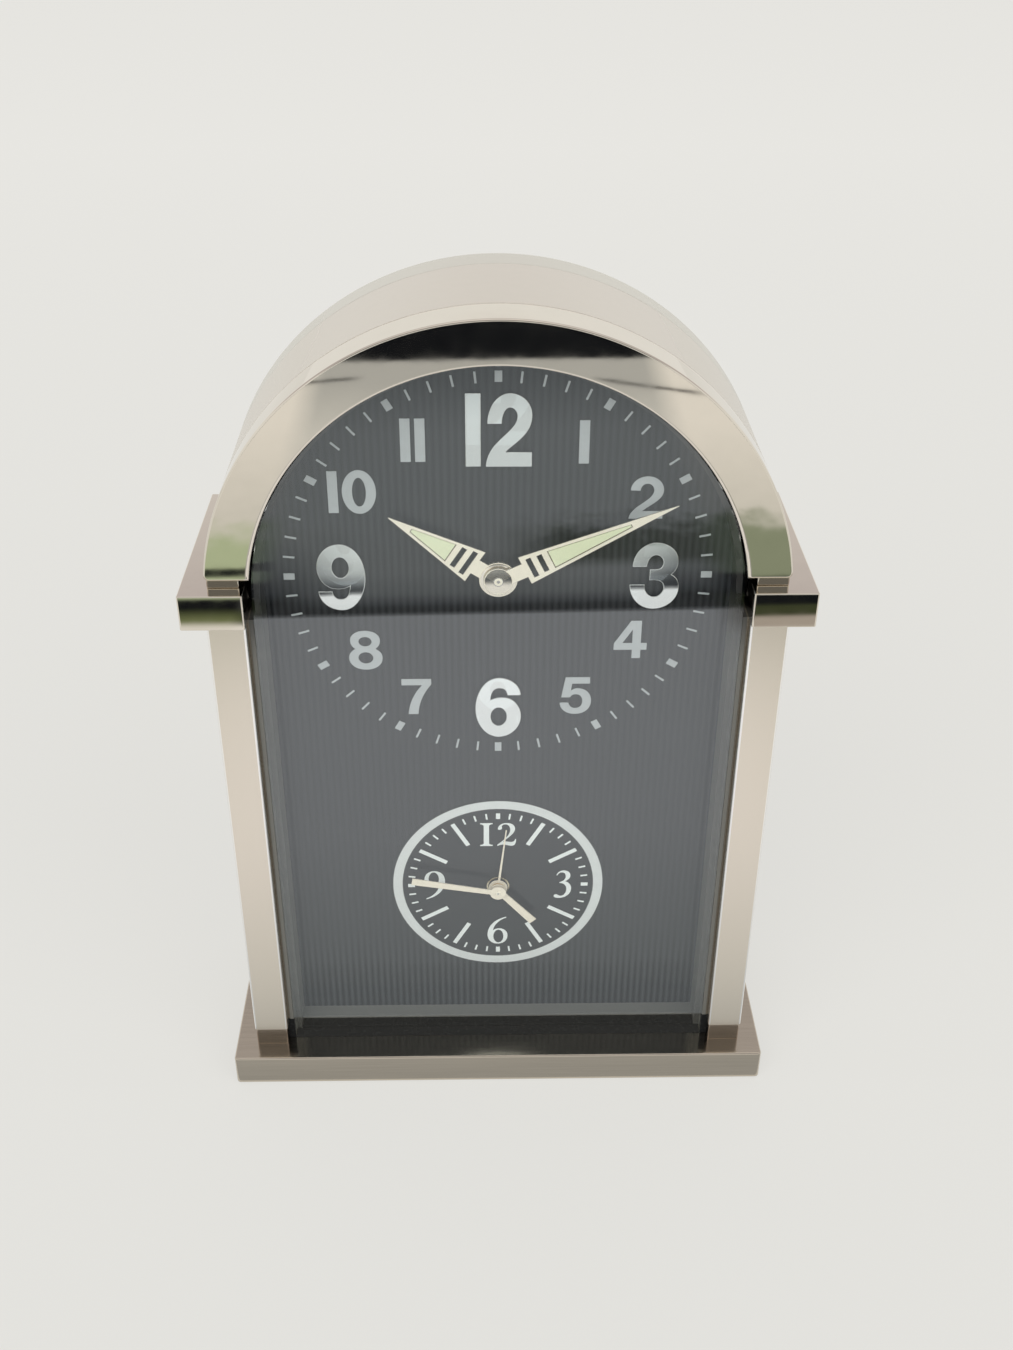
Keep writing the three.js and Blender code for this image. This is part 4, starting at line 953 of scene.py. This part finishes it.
def spear_outlines(hand):
    """The blade with its hub, its slots, and a function that draws its window with an inset."""
    neck_angle = math.degrees(math.asin(hand["neck"] / 2 / hand["hub"]))
    slope = hand["shoulder"] / 2 / (hand["length"] - hand["shoulder_at"])
    blade = Outline(hand["neck"] / 2, hand["shoulder_at"])
    blade.line((hand["shoulder"] / 2, hand["shoulder_at"]), (HAND_POINT / 2, hand["length"]))
    blade.line((-HAND_POINT / 2, hand["length"]), (-hand["shoulder"] / 2, hand["shoulder_at"]))
    blade.line((-hand["neck"] / 2, hand["shoulder_at"]))
    blade.arc(0, 0, hand["hub"], hand["hub"], 90 + neck_angle, 450 - neck_angle, ROUND_STEPS)

    def half_width(z):
        return slope * (hand["length"] - z)

    slots = []
    for index in range(2):
        z = hand["shoulder_at"] + FIRST_SLOT + index * SLOT_PITCH
        x = half_width(z) - hand["slot_rim"]
        slots.append(rectangle(-x, z - SLOT_WIDTH / 2, x, z + SLOT_WIDTH / 2))
    window_from = hand["shoulder_at"] + FIRST_SLOT + 2 * SLOT_PITCH - SLOT_WIDTH / 2
    window_to = hand["length"] - (hand["window_rim"] + hand["window_tip"] / 2) / slope
    wide = half_width(window_from) - hand["window_rim"]

    def window(inset):
        tip = hand["window_tip"] / 2 - inset / 2
        return [
            (inset - wide, window_from + inset), (wide - inset, window_from + inset),
            (tip, window_to - inset), (-tip, window_to - inset),
        ]

    return blade.points, slots, window


def make_spear(name, hand):
    low, high = box_of(name)
    axis, body = (MAIN.x, MAIN.z), hand["body"]
    blade, slots, window = spear_outlines(hand)
    outlines = [blade, *slots, window(0)]
    mesh = standing(name, outlines, low.y, high.y, SPEAR_BEVEL, 2, axis, hand["angle"])
    finish_edges(add_piece(name + "_shaped", mesh, "hand", body, (name,)), "hub")
    rear = low.y + DISC_SUNK
    profile = [(0, low.y - hand["disc"]), (hand["hub"] - DISC_RIM_FRONT, low.y - hand["disc"])]
    profile += [(hand["hub"] - DISC_RIM_REAR, rear), (0, rear)]
    disc = turned_mesh("hub", profile, axis, ROUND_STEPS)
    for vertex in disc.vertices:
        if vertex.co.y < low.y:
            vertex.co.y -= hand["lean"] * (vertex.co.z - MAIN.z)
    add_piece(name + "_hub", disc, "hub", body)
    lume_low, lume_high = box_of(name + "_lume")
    inset = standing(
        name, [window(LUME_GAP)], lume_low.y, lume_high.y, LUME_BEVEL, 1, axis, hand["angle"],
    )
    add_piece(name + "_inset", inset, "lume", body, (name + "_lume",))
    bed = standing(
        name, [window(-BED_OVERLAP)], high.y - BED_FRONT, high.y - BED_REAR, centre=axis, turn=hand["angle"],
    )
    add_piece(name + "_bed", bed, "bed", body)


def make_baton(name, hand):
    low, high = box_of(name)
    root_angle = math.degrees(math.asin(hand["root"] / 2 / hand["hub"]))
    blade = Outline(hand["tip"] / 2, hand["length"])
    blade.line((-hand["tip"] / 2, hand["length"]))
    blade.arc(0, 0, hand["hub"], hand["hub"], 90 + root_angle, 450 - root_angle, 64)
    axis = (ALARM.x, ALARM.z)
    mesh = standing(name, [blade.points], low.y, high.y, BATON_BEVEL, 2, axis, hand["angle"])
    add_piece(name + "_shaped", mesh, "baton", hand["body"], (name,))


def make_hands():
    for name, hand in SPEARS.items():
        make_spear(name, hand)
    for name, hand in BATONS.items():
        make_baton(name, hand)


# Turned end of a minute arbor, a small dome with a centre mark that is riveted over the hand: shares
# of its radius, and mm behind the arbor's front
ARBOR_TIP = [(0, 0.03), (0.32, 0.02), (0.42, -0.07), (0.78, -0.05), (1, 0.06), (1, 0.3), (0, 0.3)]


def make_arbor_tip(name, node, centre, radius, body):
    front = box_of(node)[0].y
    profile = [(radius * share, front + depth) for share, depth in ARBOR_TIP]
    add_piece(name, turned_mesh(name, profile, (centre.x, centre.z), 48), "hand", body)


COLLAR_TEETH = 40
COLLAR_KNURL = 0.05
COLLAR_BEVEL = 0.06
COLLAR_GAP = 0.1


def make_alarm_collar():
    """Knurled nut on the alarm dial's bush."""
    low, high = box_of("alarm_bush_nut")
    outer = (high.x - low.x) / 2
    bore = bush_radius("alarm_movement_case", ALARM) + COLLAR_GAP
    rim = []
    for step in range(4 * COLLAR_TEETH):
        radius = outer - COLLAR_KNURL + COLLAR_KNURL * math.cos(2 * math.pi * step / 4)
        angle = 2 * math.pi * step / (4 * COLLAR_TEETH)
        rim.append((radius * math.cos(angle), radius * math.sin(angle)))
    outlines = [rim, ellipse(0, 0, bore, bore)]
    mesh = standing("nut", outlines, low.y, high.y, COLLAR_BEVEL, 1, (ALARM.x, ALARM.z))
    add_piece("alarm_bush_nut_knurled", mesh, "collar", "case", ("alarm_bush_nut",))


# Trim beside the glass and the dial: gaps, height of the feet and depth of the corner seals in mm

SIDES = ((-1, "left"), (1, "right"))
SEAL_INSET = 0.08
FILLER_PLAY = 0.02
FOOT_HEIGHT = 5.6
SEAL_REAR = 9.5


def side_block(side, inner, outer, low, high, edge):
    """Small block on one side of the clock between two distances from its middle line. low and high
    are its depth and height at two corners."""
    near, far = sorted((side * inner, side * outer))
    return rounded_box((near, *low), (far, *high), edge, edge, 1)


def make_glass_seal():
    """Black seal that the glass stands on, seen through the foot of the glass."""
    low, high = box_of("front_glass")
    near = low + Vector((SEAL_INSET, SEAL_INSET, SEAL_INSET))
    far = (high.x - SEAL_INSET, high.y - SEAL_INSET, low.z + 2 * SEAL_INSET)
    add_piece("glass_seal", rounded_box(near, far, 0.1, 0.02), "black")


def make_liner_fillers():
    """Narrow strips that close the gap between each pillar and the grey liner beside the glass."""
    pillar_low, pillar_high = box_of("pillar_right")
    inner = box_of("spacer_frame")[1].x + FILLER_PLAY
    low = (box_of("front_glass")[0].y + 0.3, pillar_low.z)
    high = (DIAL_Y - 0.5, pillar_high.z)
    for side, label in SIDES:
        filler = side_block(side, inner, pillar_low.x - FILLER_PLAY, low, high, 0.04)
        add_piece("liner_filler_" + label, filler, "putty")


def make_liner_feet():
    """Black feet on the liner, level with the black floor of the recess."""
    foot_from = box_of("spacer_frame")[0].z
    outer = box_of("pillar_right")[0].x + 0.2
    glass_front = box_of("front_glass")[0].y
    low = (glass_front + 0.02, foot_from + 0.04)
    high = (glass_front + 0.5, foot_from + FOOT_HEIGHT)
    for side, label in SIDES:
        foot = side_block(side, PLATE_HALF - 0.05, outer, low, high, 0.04)
        add_piece("liner_foot_" + label, foot, "black")


def make_corner_seals():
    """Black strips between the dial and the blocks that carry the arch."""
    capital_low = box_of("capital_right")[0]
    impost_low, impost_high = box_of("impost_right")
    strips = (
        (capital_low.x - 0.05, capital_low.z + 0.1, impost_low.z),
        (impost_low.x - 0.05, impost_low.z + 0.05, impost_high.z - 0.05),
    )
    for side, label in SIDES:
        blocks = [
            side_block(side, PLATE_HALF + 0.15, outer, (DIAL_Y + 0.1, bottom), (SEAL_REAR, top), 0.05)
            for outer, bottom, top in strips
        ]
        add_piece("corner_seal_" + label, joined(blocks, "seal"), "black")


# Rear side: screws, knobs, doors and switch

# Screw: height of the head and of its upright rim, radius of the shank and length of its point, and
# the cross in the head: reach as a share of the head's radius, half width of an arm, and depth
HEAD_HEIGHT = 1.4
HEAD_RIM = 0.45
HEAD_STEPS = 8
SHANK = 1.0
POINT = 0.4
CROSS_REACH = 0.55
CROSS_HALF = 0.24
CROSS_DEPTH = 0.75


def make_screw(node):
    low, high = box_of(node)
    centre = (low + high) / 2
    head = (high.x - low.x) / 2
    seat = high.y - HEAD_HEIGHT
    rim = seat + HEAD_RIM
    profile = [(0, low.y + POINT), (SHANK - POINT, low.y), (SHANK, low.y + 0.5), (SHANK, seat)]
    profile += [(head, seat), (head, rim)]
    for step in range(1, HEAD_STEPS):
        angle = math.pi / 2 * step / HEAD_STEPS
        profile.append((head * math.cos(angle), rim + (HEAD_HEIGHT - HEAD_RIM) * math.sin(angle)))
    profile.append((0, seat + HEAD_HEIGHT))
    mesh = turned_mesh(node, profile, (centre.x, centre.z), 48)
    screw = add_piece(node + "_turned", mesh, "screw", "case", (node,))
    reach = head * CROSS_REACH
    arms = [
        mesh_from(cube_between(
            (centre.x - x, high.y - CROSS_DEPTH, centre.z - z), (centre.x + x, high.y + 1, centre.z + z),
        ))
        for x, z in ((reach, CROSS_HALF), (CROSS_HALF, reach))
    ]
    cut(screw, *arms)


# Knob: flutes and points to each, their depth, softening, and the dish and the bore cut into it
FLUTES = 24
FLUTE_STEPS = 12
FLUTE_DEPTH = 0.45
KNOB_BEVEL = 0.35
DISH_FLOOR = 1.7
DISH_RIM = 1.4
BORE = 1.08
BORE_END = 0.7


def make_knob(node, body):
    low, high = box_of(node)
    centre = middle(node)
    place = (centre.x, centre.z)
    radius = (high.z - low.z) / 2
    rim = []
    for step in range(FLUTES * FLUTE_STEPS):
        angle = 2 * math.pi * step / (FLUTES * FLUTE_STEPS)
        reach = radius - FLUTE_DEPTH + FLUTE_DEPTH * abs(math.sin(angle * FLUTES / 2))
        rim.append((reach * math.cos(angle), reach * math.sin(angle)))
    mesh = standing(node, [rim], low.y, high.y, KNOB_BEVEL, 3, place)
    knob = add_piece(node + "_fluted", mesh, "knob", body, (node,))
    dish = [(0, high.y - 0.5), (radius - DISH_FLOOR, high.y - 0.45), (radius - DISH_RIM, high.y + 1)]
    dish.append((0, high.y + 1))
    bore = [(0, low.y - 1), (BORE, low.y - 1), (BORE, high.y - BORE_END), (0, high.y - BORE_END)]
    cut(knob, turned_mesh("dish", dish, place, 64), turned_mesh("bore", bore, place, 32))


def ribs_on(node, places, sunk, proud, edge, steps=3):
    """Small ribs on the rear face of a node, from (low x, low z, high x, high z) of each."""
    face = box_of(node)[1].y
    return joined([
        rounded_box((x0, face - sunk, z0), (x1, face + proud, z1), edge, edge, steps)
        for x0, z0, x1, z1 in places
    ], node)


# Ribs on a battery door: number, first one above the door's foot, pitch, width and half length
GRIP_RIBS = 5
GRIP_FROM = 4.4
GRIP_PITCH = 1.3
GRIP_WIDTH = 0.6
GRIP_HALF = 7


def make_door_grip(node, body):
    low, high = box_of(node)
    centre = (low.x + high.x) / 2
    feet = [low.z + GRIP_FROM + index * GRIP_PITCH for index in range(GRIP_RIBS)]
    places = [(centre - GRIP_HALF, z, centre + GRIP_HALF, z + GRIP_WIDTH) for z in feet]
    add_piece(node + "_grip", ribs_on(node, places, 0.3, 0.3, 0.12), "plastic", body)


# Ribs on the switch: pitch, half width and half height
SWITCH_PITCH = 0.9
SWITCH_HALF = 0.18
SWITCH_RISE = 1.8


def make_switch_ribs():
    centre = middle("alarm_switch")
    places = []
    for index in (-1, 0, 1):
        x = centre.x + index * SWITCH_PITCH
        places.append((x - SWITCH_HALF, centre.z - SWITCH_RISE, x + SWITCH_HALF, centre.z + SWITCH_RISE))
    ribs = ribs_on("alarm_switch", places, 0.3, 0.25, 0.08, 2)
    add_piece("alarm_switch_ribs", ribs, "switch", "alarm_slider")


# Low raised ring round a knob's hole in the back cover: inner radius, width, and depth with the part
# that is sunk
KNOB_HOLE = 6.4
COLLAR_WIDTH = 1.1
COLLAR_DEPTH = 0.5
COLLAR_SUNK = 0.2


def make_hole_collar(node):
    centre = middle(node)
    front = box_of("back_cover")[1].y - COLLAR_SUNK
    rings = [ellipse(0, 0, radius, radius) for radius in (KNOB_HOLE + COLLAR_WIDTH, KNOB_HOLE)]
    mesh = standing(node, rings, front, front + COLLAR_DEPTH, 0.12, 2, (centre.x, centre.z))
    add_piece(node + "_collar", mesh, "plastic")


# CAD nodes that keep their shape and get softened edges: width in mm
SOFTENED = {
    "back_cover": 0.4, "main_battery_door": 0.25, "alarm_battery_door": 0.25, "alarm_switch": 0.15,
    "side_panel_left": 0.15, "side_panel_right": 0.15, "bottom_sill": 0.06,
    "main_movement_case": 0.3, "alarm_movement_case": 0.3,
    "main_movement_cover": 0.3, "alarm_movement_cover": 0.3,
}
SOFTENED_FROM = math.radians(40)
WELD_REACH = 0.001


def soften(node, width):
    piece = nodes[node]
    weld = piece.modifiers.new("weld", "WELD")
    weld.merge_threshold = WELD_REACH * MM
    bevel = piece.modifiers.new("bevel", "BEVEL")
    bevel.width = width * MM
    bevel.segments = 2
    bevel.limit_method = "ANGLE"
    bevel.angle_limit = SOFTENED_FROM
    bevel.use_clamp_overlap = True
    flat_faces_stay_flat(piece)


KNOBS = {
    "main_setting_knob": "main_setting", "alarm_dial_setting_knob": "alarm_setting",
    "alarm_time_knob": "alarm_time",
}


def make_rear():
    for index in range(1, 5):
        make_screw("cover_screw_" + str(index))
    for node, body in KNOBS.items():
        make_knob(node, body)
    make_door_grip("main_battery_door", "main_door")
    make_door_grip("alarm_battery_door", "alarm_door")
    for node in KNOBS:
        make_hole_collar(node)
    make_switch_ribs()
    for node, width in SOFTENED.items():
        soften(node, width)


make_case()
make_arches()
make_dial_plate()
make_applied_numerals()
make_prints()
make_alarm_dial()
make_hands()
make_arbor_tip("minute_arbor_tip", "main_minute_arbor", MAIN, 0.93, "main_minute")
make_arbor_tip("alarm_arbor_tip", "alarm_minute_arbor", ALARM, 0.62, "alarm_minute")
make_alarm_collar()
make_glass_seal()
make_liner_fillers()
make_liner_feet()
make_corner_seals()
make_rear()

# Finish of each CAD node that has one of its own
DRESSED = {
    "felt": "base_felt", "glass": "front_glass", "spacer": "spacer_frame", "black": "bottom_sill",
    "champagne": "side_panel_left side_panel_right",
    "plastic": "back_cover main_battery_door alarm_battery_door",
    "movement": "main_movement_case main_movement_cover alarm_movement_case alarm_movement_cover",
    "nickel": "main_bush_nut", "collar": "alarm_bush_nut",
    "steel": "main_minute_arbor alarm_minute_arbor main_setting_wheel alarm_setting_wheel alarm_time_arbor",
    "brass": "main_hour_wheel alarm_hour_wheel alarm_wheel alarm_sounder",
    "battery": "main_battery alarm_battery", "switch": "alarm_switch",
    "knob": "main_setting_knob alarm_dial_setting_knob alarm_time_knob",
    "screw": "cover_screw_1 cover_screw_2 cover_screw_3 cover_screw_4",
    "hand": "minute_hand hour_hand", "lume": "minute_hand_lume hour_hand_lume",
    "baton": "alarm_minute_hand alarm_hour_hand alarm_hand",
}
for dressing, dressed_nodes in DRESSED.items():
    for dressed_node in dressed_nodes.split():
        for material_slot in nodes[dressed_node].material_slots:
            material_slot.material = finishes[dressing]


# Floor, studio light and the things that the polished parts mirror

PAPER = (0.755, 0.75, 0.72)
FAR_PAPER = (0.85, 0.84, 0.805)
PAPER_FADE = (-0.1, 0.9)
PLAIN_SHARE = 0.8
FLOOR_REACH = 12.0


def seen_or_mirrored(tree):
    """1 for rays of the camera and of mirrors and glass, 0 for the light that falls on things."""
    path = node_of(tree, "ShaderNodeLightPath")
    mirrored_ray = calc(tree, "MAXIMUM", path.outputs["Is Glossy Ray"], path.outputs["Is Transmission Ray"])
    return calc(tree, "MAXIMUM", path.outputs["Is Camera Ray"], mirrored_ray)


def stage_piece(name, corners, material):
    mesh = bpy.data.meshes.new(name)
    mesh.from_pydata(corners, [], [(0, 1, 2, 3)])
    mesh.materials.append(material)
    piece = linked(name, mesh)
    return piece


def only_in_mirrors(piece):
    piece.visible_camera = False
    piece.visible_diffuse = False
    piece.visible_shadow = False


def make_stage():
    """Pale paper: part of it shows its plain colour, and the rest is lit and takes the shadow."""
    material = surface("paper", PAPER, 0.9, 0.0, 300, 0.004, 0.02)
    tree = material.node_tree
    near, far = PAPER_FADE
    plain = glow(tree, ramp(tree, place_of(tree, "Y"), [(near, PAPER), (far, FAR_PAPER)]))
    share = calc(tree, "MULTIPLY", seen_or_mirrored(tree), PLAIN_SHARE)
    show(tree, blended(tree, share, tree.nodes["Principled BSDF"].outputs["BSDF"], plain))
    corners = rectangle(-FLOOR_REACH, -FLOOR_REACH, FLOOR_REACH, FLOOR_REACH)
    stage_piece("floor", [(x, y, 0) for x, y in corners], material)


# Bands that lie across the floor in front of the clock, seen only in its mirrors: pairs of distance
# in front of the clock, in metres, and colour. The strips lie side by side from left to right, each
# with the place where it starts and the place where it has wholly taken over.
PALE = (0.80, 0.785, 0.75)
# Darker paper next to the clock: painted shade, seen only in the clock's mirrors
NEAR_SHADED_PALE = (0.62, 0.62, 0.60)
NEAR_SHADE = (0.45, 0.455, 0.445)
DIAL_PALE = (0.83, 0.81, 0.80)
BRIGHT = (0.91, 0.89, 0.88)
UPPER = (0.66, 0.665, 0.645)
TOP = (0.48, 0.49, 0.48)
BROWN = (0.42, 0.38, 0.34)
SIDE_PALE = (0.70, 0.69, 0.65)
CREAM = (0.86, 0.84, 0.80)
MIST = (0.62, 0.62, 0.59)
GLOOM = (0.13, 0.135, 0.14)
HAZE = (0.44, 0.445, 0.43)
SHADE = (0.20, 0.21, 0.17)
BLACK = (0.008, 0.009, 0.011)
DEEP_OLIVE = (0.05, 0.06, 0.03)
OLIVE = (0.18, 0.21, 0.10)
LEFT_MOSS = (0.47, 0.55, 0.37)
RIGHT_MOSS = (0.27, 0.31, 0.22)
# Nearest the clock the card's paper is darker: painted shade that only the mirrors show
NEAR_BANDS = [(0.024, NEAR_SHADED_PALE), (0.075, PALE)]
DIAL_NEAR = [(0.026, NEAR_SHADE), (0.048, NEAR_SHADED_PALE), (0.100, DIAL_PALE), (0.2230, BRIGHT), (0.2246, BLACK)]
FAR_BANDS = [(0.40, CREAM), (0.479, CREAM), (0.483, BLACK)]
DIAL_FAR = [(0.302, UPPER), (0.385, UPPER), (0.450, TOP), (0.479, TOP), (0.483, BLACK)]
STRIPS = [
    (None, None, NEAR_BANDS + [
        (0.222, PALE), (0.2275, OLIVE), (0.2365, DEEP_OLIVE), (0.240, BLACK), (0.2490, BLACK),
        (0.2505, LEFT_MOSS), (0.2580, LEFT_MOSS), (0.2590, BLACK), (0.2640, BLACK), (0.2660, LEFT_MOSS),
        (0.281, LEFT_MOSS), (0.306, SIDE_PALE),
    ]),
    (-0.090, -0.078, [
        *DIAL_NEAR, (0.2340, BLACK), (0.2400, GLOOM), (0.262, HAZE), (0.285, MIST), *DIAL_FAR,
    ]),
    (-0.075, -0.050, [
        *DIAL_NEAR, (0.2285, BLACK), (0.2315, GLOOM), (0.2390, HAZE), (0.254, MIST), *DIAL_FAR,
    ]),
    (0.0, 0.03, [
        *DIAL_NEAR, (0.2290, BLACK), (0.2320, GLOOM), (0.2390, HAZE), (0.252, MIST), (0.256, MIST),
        (0.264, SHADE), (0.280, SHADE), *DIAL_FAR,
    ]),
    (0.050, 0.070, [
        *DIAL_NEAR, (0.2345, BLACK), (0.2400, GLOOM), (0.256, HAZE), (0.264, SHADE), (0.280, SHADE),
        *DIAL_FAR,
    ]),
    (0.078, 0.090, NEAR_BANDS + [
        (0.205, PALE), (0.216, BROWN), (0.2225, BROWN), (0.2255, DEEP_OLIVE), (0.2335, DEEP_OLIVE),
        (0.236, BLACK), (0.2490, BLACK), (0.2510, RIGHT_MOSS), (0.289, RIGHT_MOSS), (0.306, SIDE_PALE),
    ]),
]
# Thin creases across the pale part: from and to which place they run, distance at their left end,
# and how fast the distance grows to the right
CREASES = [(-0.108, -0.058, 0.4475, 0.23), (0.050, 0.108, 0.4535, -0.42)]
CREASE_EDGE = (0.001, 0.003, 0.9, 0.0)
CREASE_END = 0.01
# The bands waver between these distances: scale and detail of the noise, and how far it goes. They
# also come nearer to the right.
WAVER_STARTS = (0.26, 0.29)
WAVER_ENDS = (0.34, 0.38, 1.0, 0.08)
WAVER_NOISE = (90.0, 5.0)
WAVER_REACH = 0.05
BAND_SKEW = -0.03
# Card that carries the bands: its far end and half width, and its height above the floor
BAND_FAR = 0.56
BAND_HALF = 0.22
BAND_HEIGHT = 0.0005


def make_mirrored_bands():
    """Card on the floor whose bands only the clock's mirrors show."""
    material, tree = new_material("mirrored_bands")
    across = place_of(tree, "X")
    ahead = calc(tree, "MULTIPLY", place_of(tree, "Y"), -1.0)
    mottled = calc(tree, "MULTIPLY", fade(tree, ahead, *WAVER_STARTS), fade(tree, ahead, *WAVER_ENDS))
    waver = calc(tree, "MULTIPLY", calc(tree, "SUBTRACT", noise(tree, *WAVER_NOISE), 0.5), mottled)
    skewed = calc(tree, "MULTIPLY_ADD", across, BAND_SKEW, ahead)
    away = calc(tree, "MULTIPLY_ADD", waver, WAVER_REACH, skewed)
    color = None
    for start, full, bands in STRIPS:
        beyond = [band for band in FAR_BANDS if band[0] > bands[-1][0]]
        strip = ramp(tree, away, bands + beyond)
        color = strip if color is None else mixed(tree, fade(tree, across, start, full), color, strip)
    for left, right, distance, slope in CREASES:
        line = calc(tree, "MULTIPLY_ADD", calc(tree, "SUBTRACT", across, left), -slope, away)
        off = calc(tree, "ABSOLUTE", calc(tree, "SUBTRACT", line, distance))
        starts = fade(tree, across, left, left + CREASE_END)
        ends = fade(tree, across, right, right - CREASE_END)
        inside = calc(tree, "MULTIPLY", starts, ends)
        mark = calc(tree, "MULTIPLY", fade(tree, off, *CREASE_EDGE), inside)
        color = mixed(tree, mark, color, (*BLACK, 1.0))
    show(tree, glow(tree, color))
    corners = rectangle(-BAND_HALF, -BAND_FAR, BAND_HALF, -NEAR_BANDS[0][0])
    only_in_mirrors(stage_piece("mirrored_bands", [(x, y, BAND_HEIGHT) for x, y in corners], material))


# Dark strip that leans back in front of the clock and above it: colour, place and half sizes in metres
DUSK = (0.22, 0.225, 0.225)
DARK_PLACE = (0.0, -0.277, 0.278)
DARK_HALF_WIDTH = 0.2
DARK_HALF_HEIGHT = 0.07


def make_dark_strip():
    material, tree = new_material("mirrored_dark")
    show(tree, glow(tree, (*DUSK, 1.0)))
    rise = DARK_HALF_HEIGHT * math.sqrt(0.5)
    place = Vector(DARK_PLACE)
    corners = rectangle(-DARK_HALF_WIDTH, -rise, DARK_HALF_WIDTH, rise)
    strip = stage_piece("mirrored_dark", [place + Vector((x, up, up)) for x, up in corners], material)
    only_in_mirrors(strip)


# Colours of the room that mirrors show, from level to straight up
SKY = [
    (0.0, (0.84, 0.83, 0.80)), (0.30, (0.86, 0.855, 0.83)), (0.36, (0.82, 0.80, 0.77)),
    (0.48, (0.57, 0.525, 0.53)), (0.70, (0.50, 0.47, 0.46)), (1.0, (0.86, 0.83, 0.80)),
]
# Light of the room on everything that isn't seen in a mirror, and of the lamps
ROOM_LIGHT = (1.0, 0.99, 0.97, 1.0)
ROOM_STRENGTH = 0.62
LAMP_COLOR = (1.0, 0.985, 0.96)
LAMP_AIM = (0, 0, 0.08)


def make_world():
    world = bpy.data.worlds.new("studio")
    bpy.context.scene.world = world
    world.use_nodes = True
    tree = world.node_tree
    shown = tree.nodes["Background"]
    split = node_of(tree, "ShaderNodeSeparateXYZ")
    tree.links.new(node_of(tree, "ShaderNodeTexCoord").outputs["Generated"], split.inputs["Vector"])
    tree.links.new(ramp(tree, split.outputs["Z"], SKY), shown.inputs["Color"])
    lighting = node_of(tree, "ShaderNodeBackground")
    lighting.inputs["Color"].default_value = ROOM_LIGHT
    lighting.inputs["Strength"].default_value = ROOM_STRENGTH
    share = seen_or_mirrored(tree)
    either = blended(tree, share, lighting.outputs["Background"], shown.outputs["Background"])
    tree.links.new(either, tree.nodes["World Output"].inputs["Surface"])


def make_lamp(name, place, size, power):
    light = bpy.data.lights.new(name, "AREA")
    light.shape = "DISK"
    light.size = size
    light.energy = power
    light.color = LAMP_COLOR
    lamp = linked(name, light)
    lamp.location = place
    lamp.visible_glossy = False
    lamp.rotation_euler = (Vector(place) - Vector(LAMP_AIM)).to_track_quat("Z", "Y").to_euler()


def make_camera():
    camera = bpy.data.cameras.new("camera")
    camera.lens = CAMERA_LENS
    camera.sensor_width = CAMERA_SENSOR
    holder = linked("camera", camera)
    holder.location = CAMERA_PLACE
    holder.rotation_euler = tuple(math.radians(angle) for angle in CAMERA_TURN)
    bpy.context.scene.camera = holder


make_stage()
make_mirrored_bands()
make_dark_strip()
make_world()
make_lamp("key", (-0.8, -1.2, 1.2), 1.4, 17)
make_lamp("fill", (1.0, -1.0, 1.1), 1.4, 11)
make_camera()
bpy.context.scene.view_settings.view_transform = "Standard"
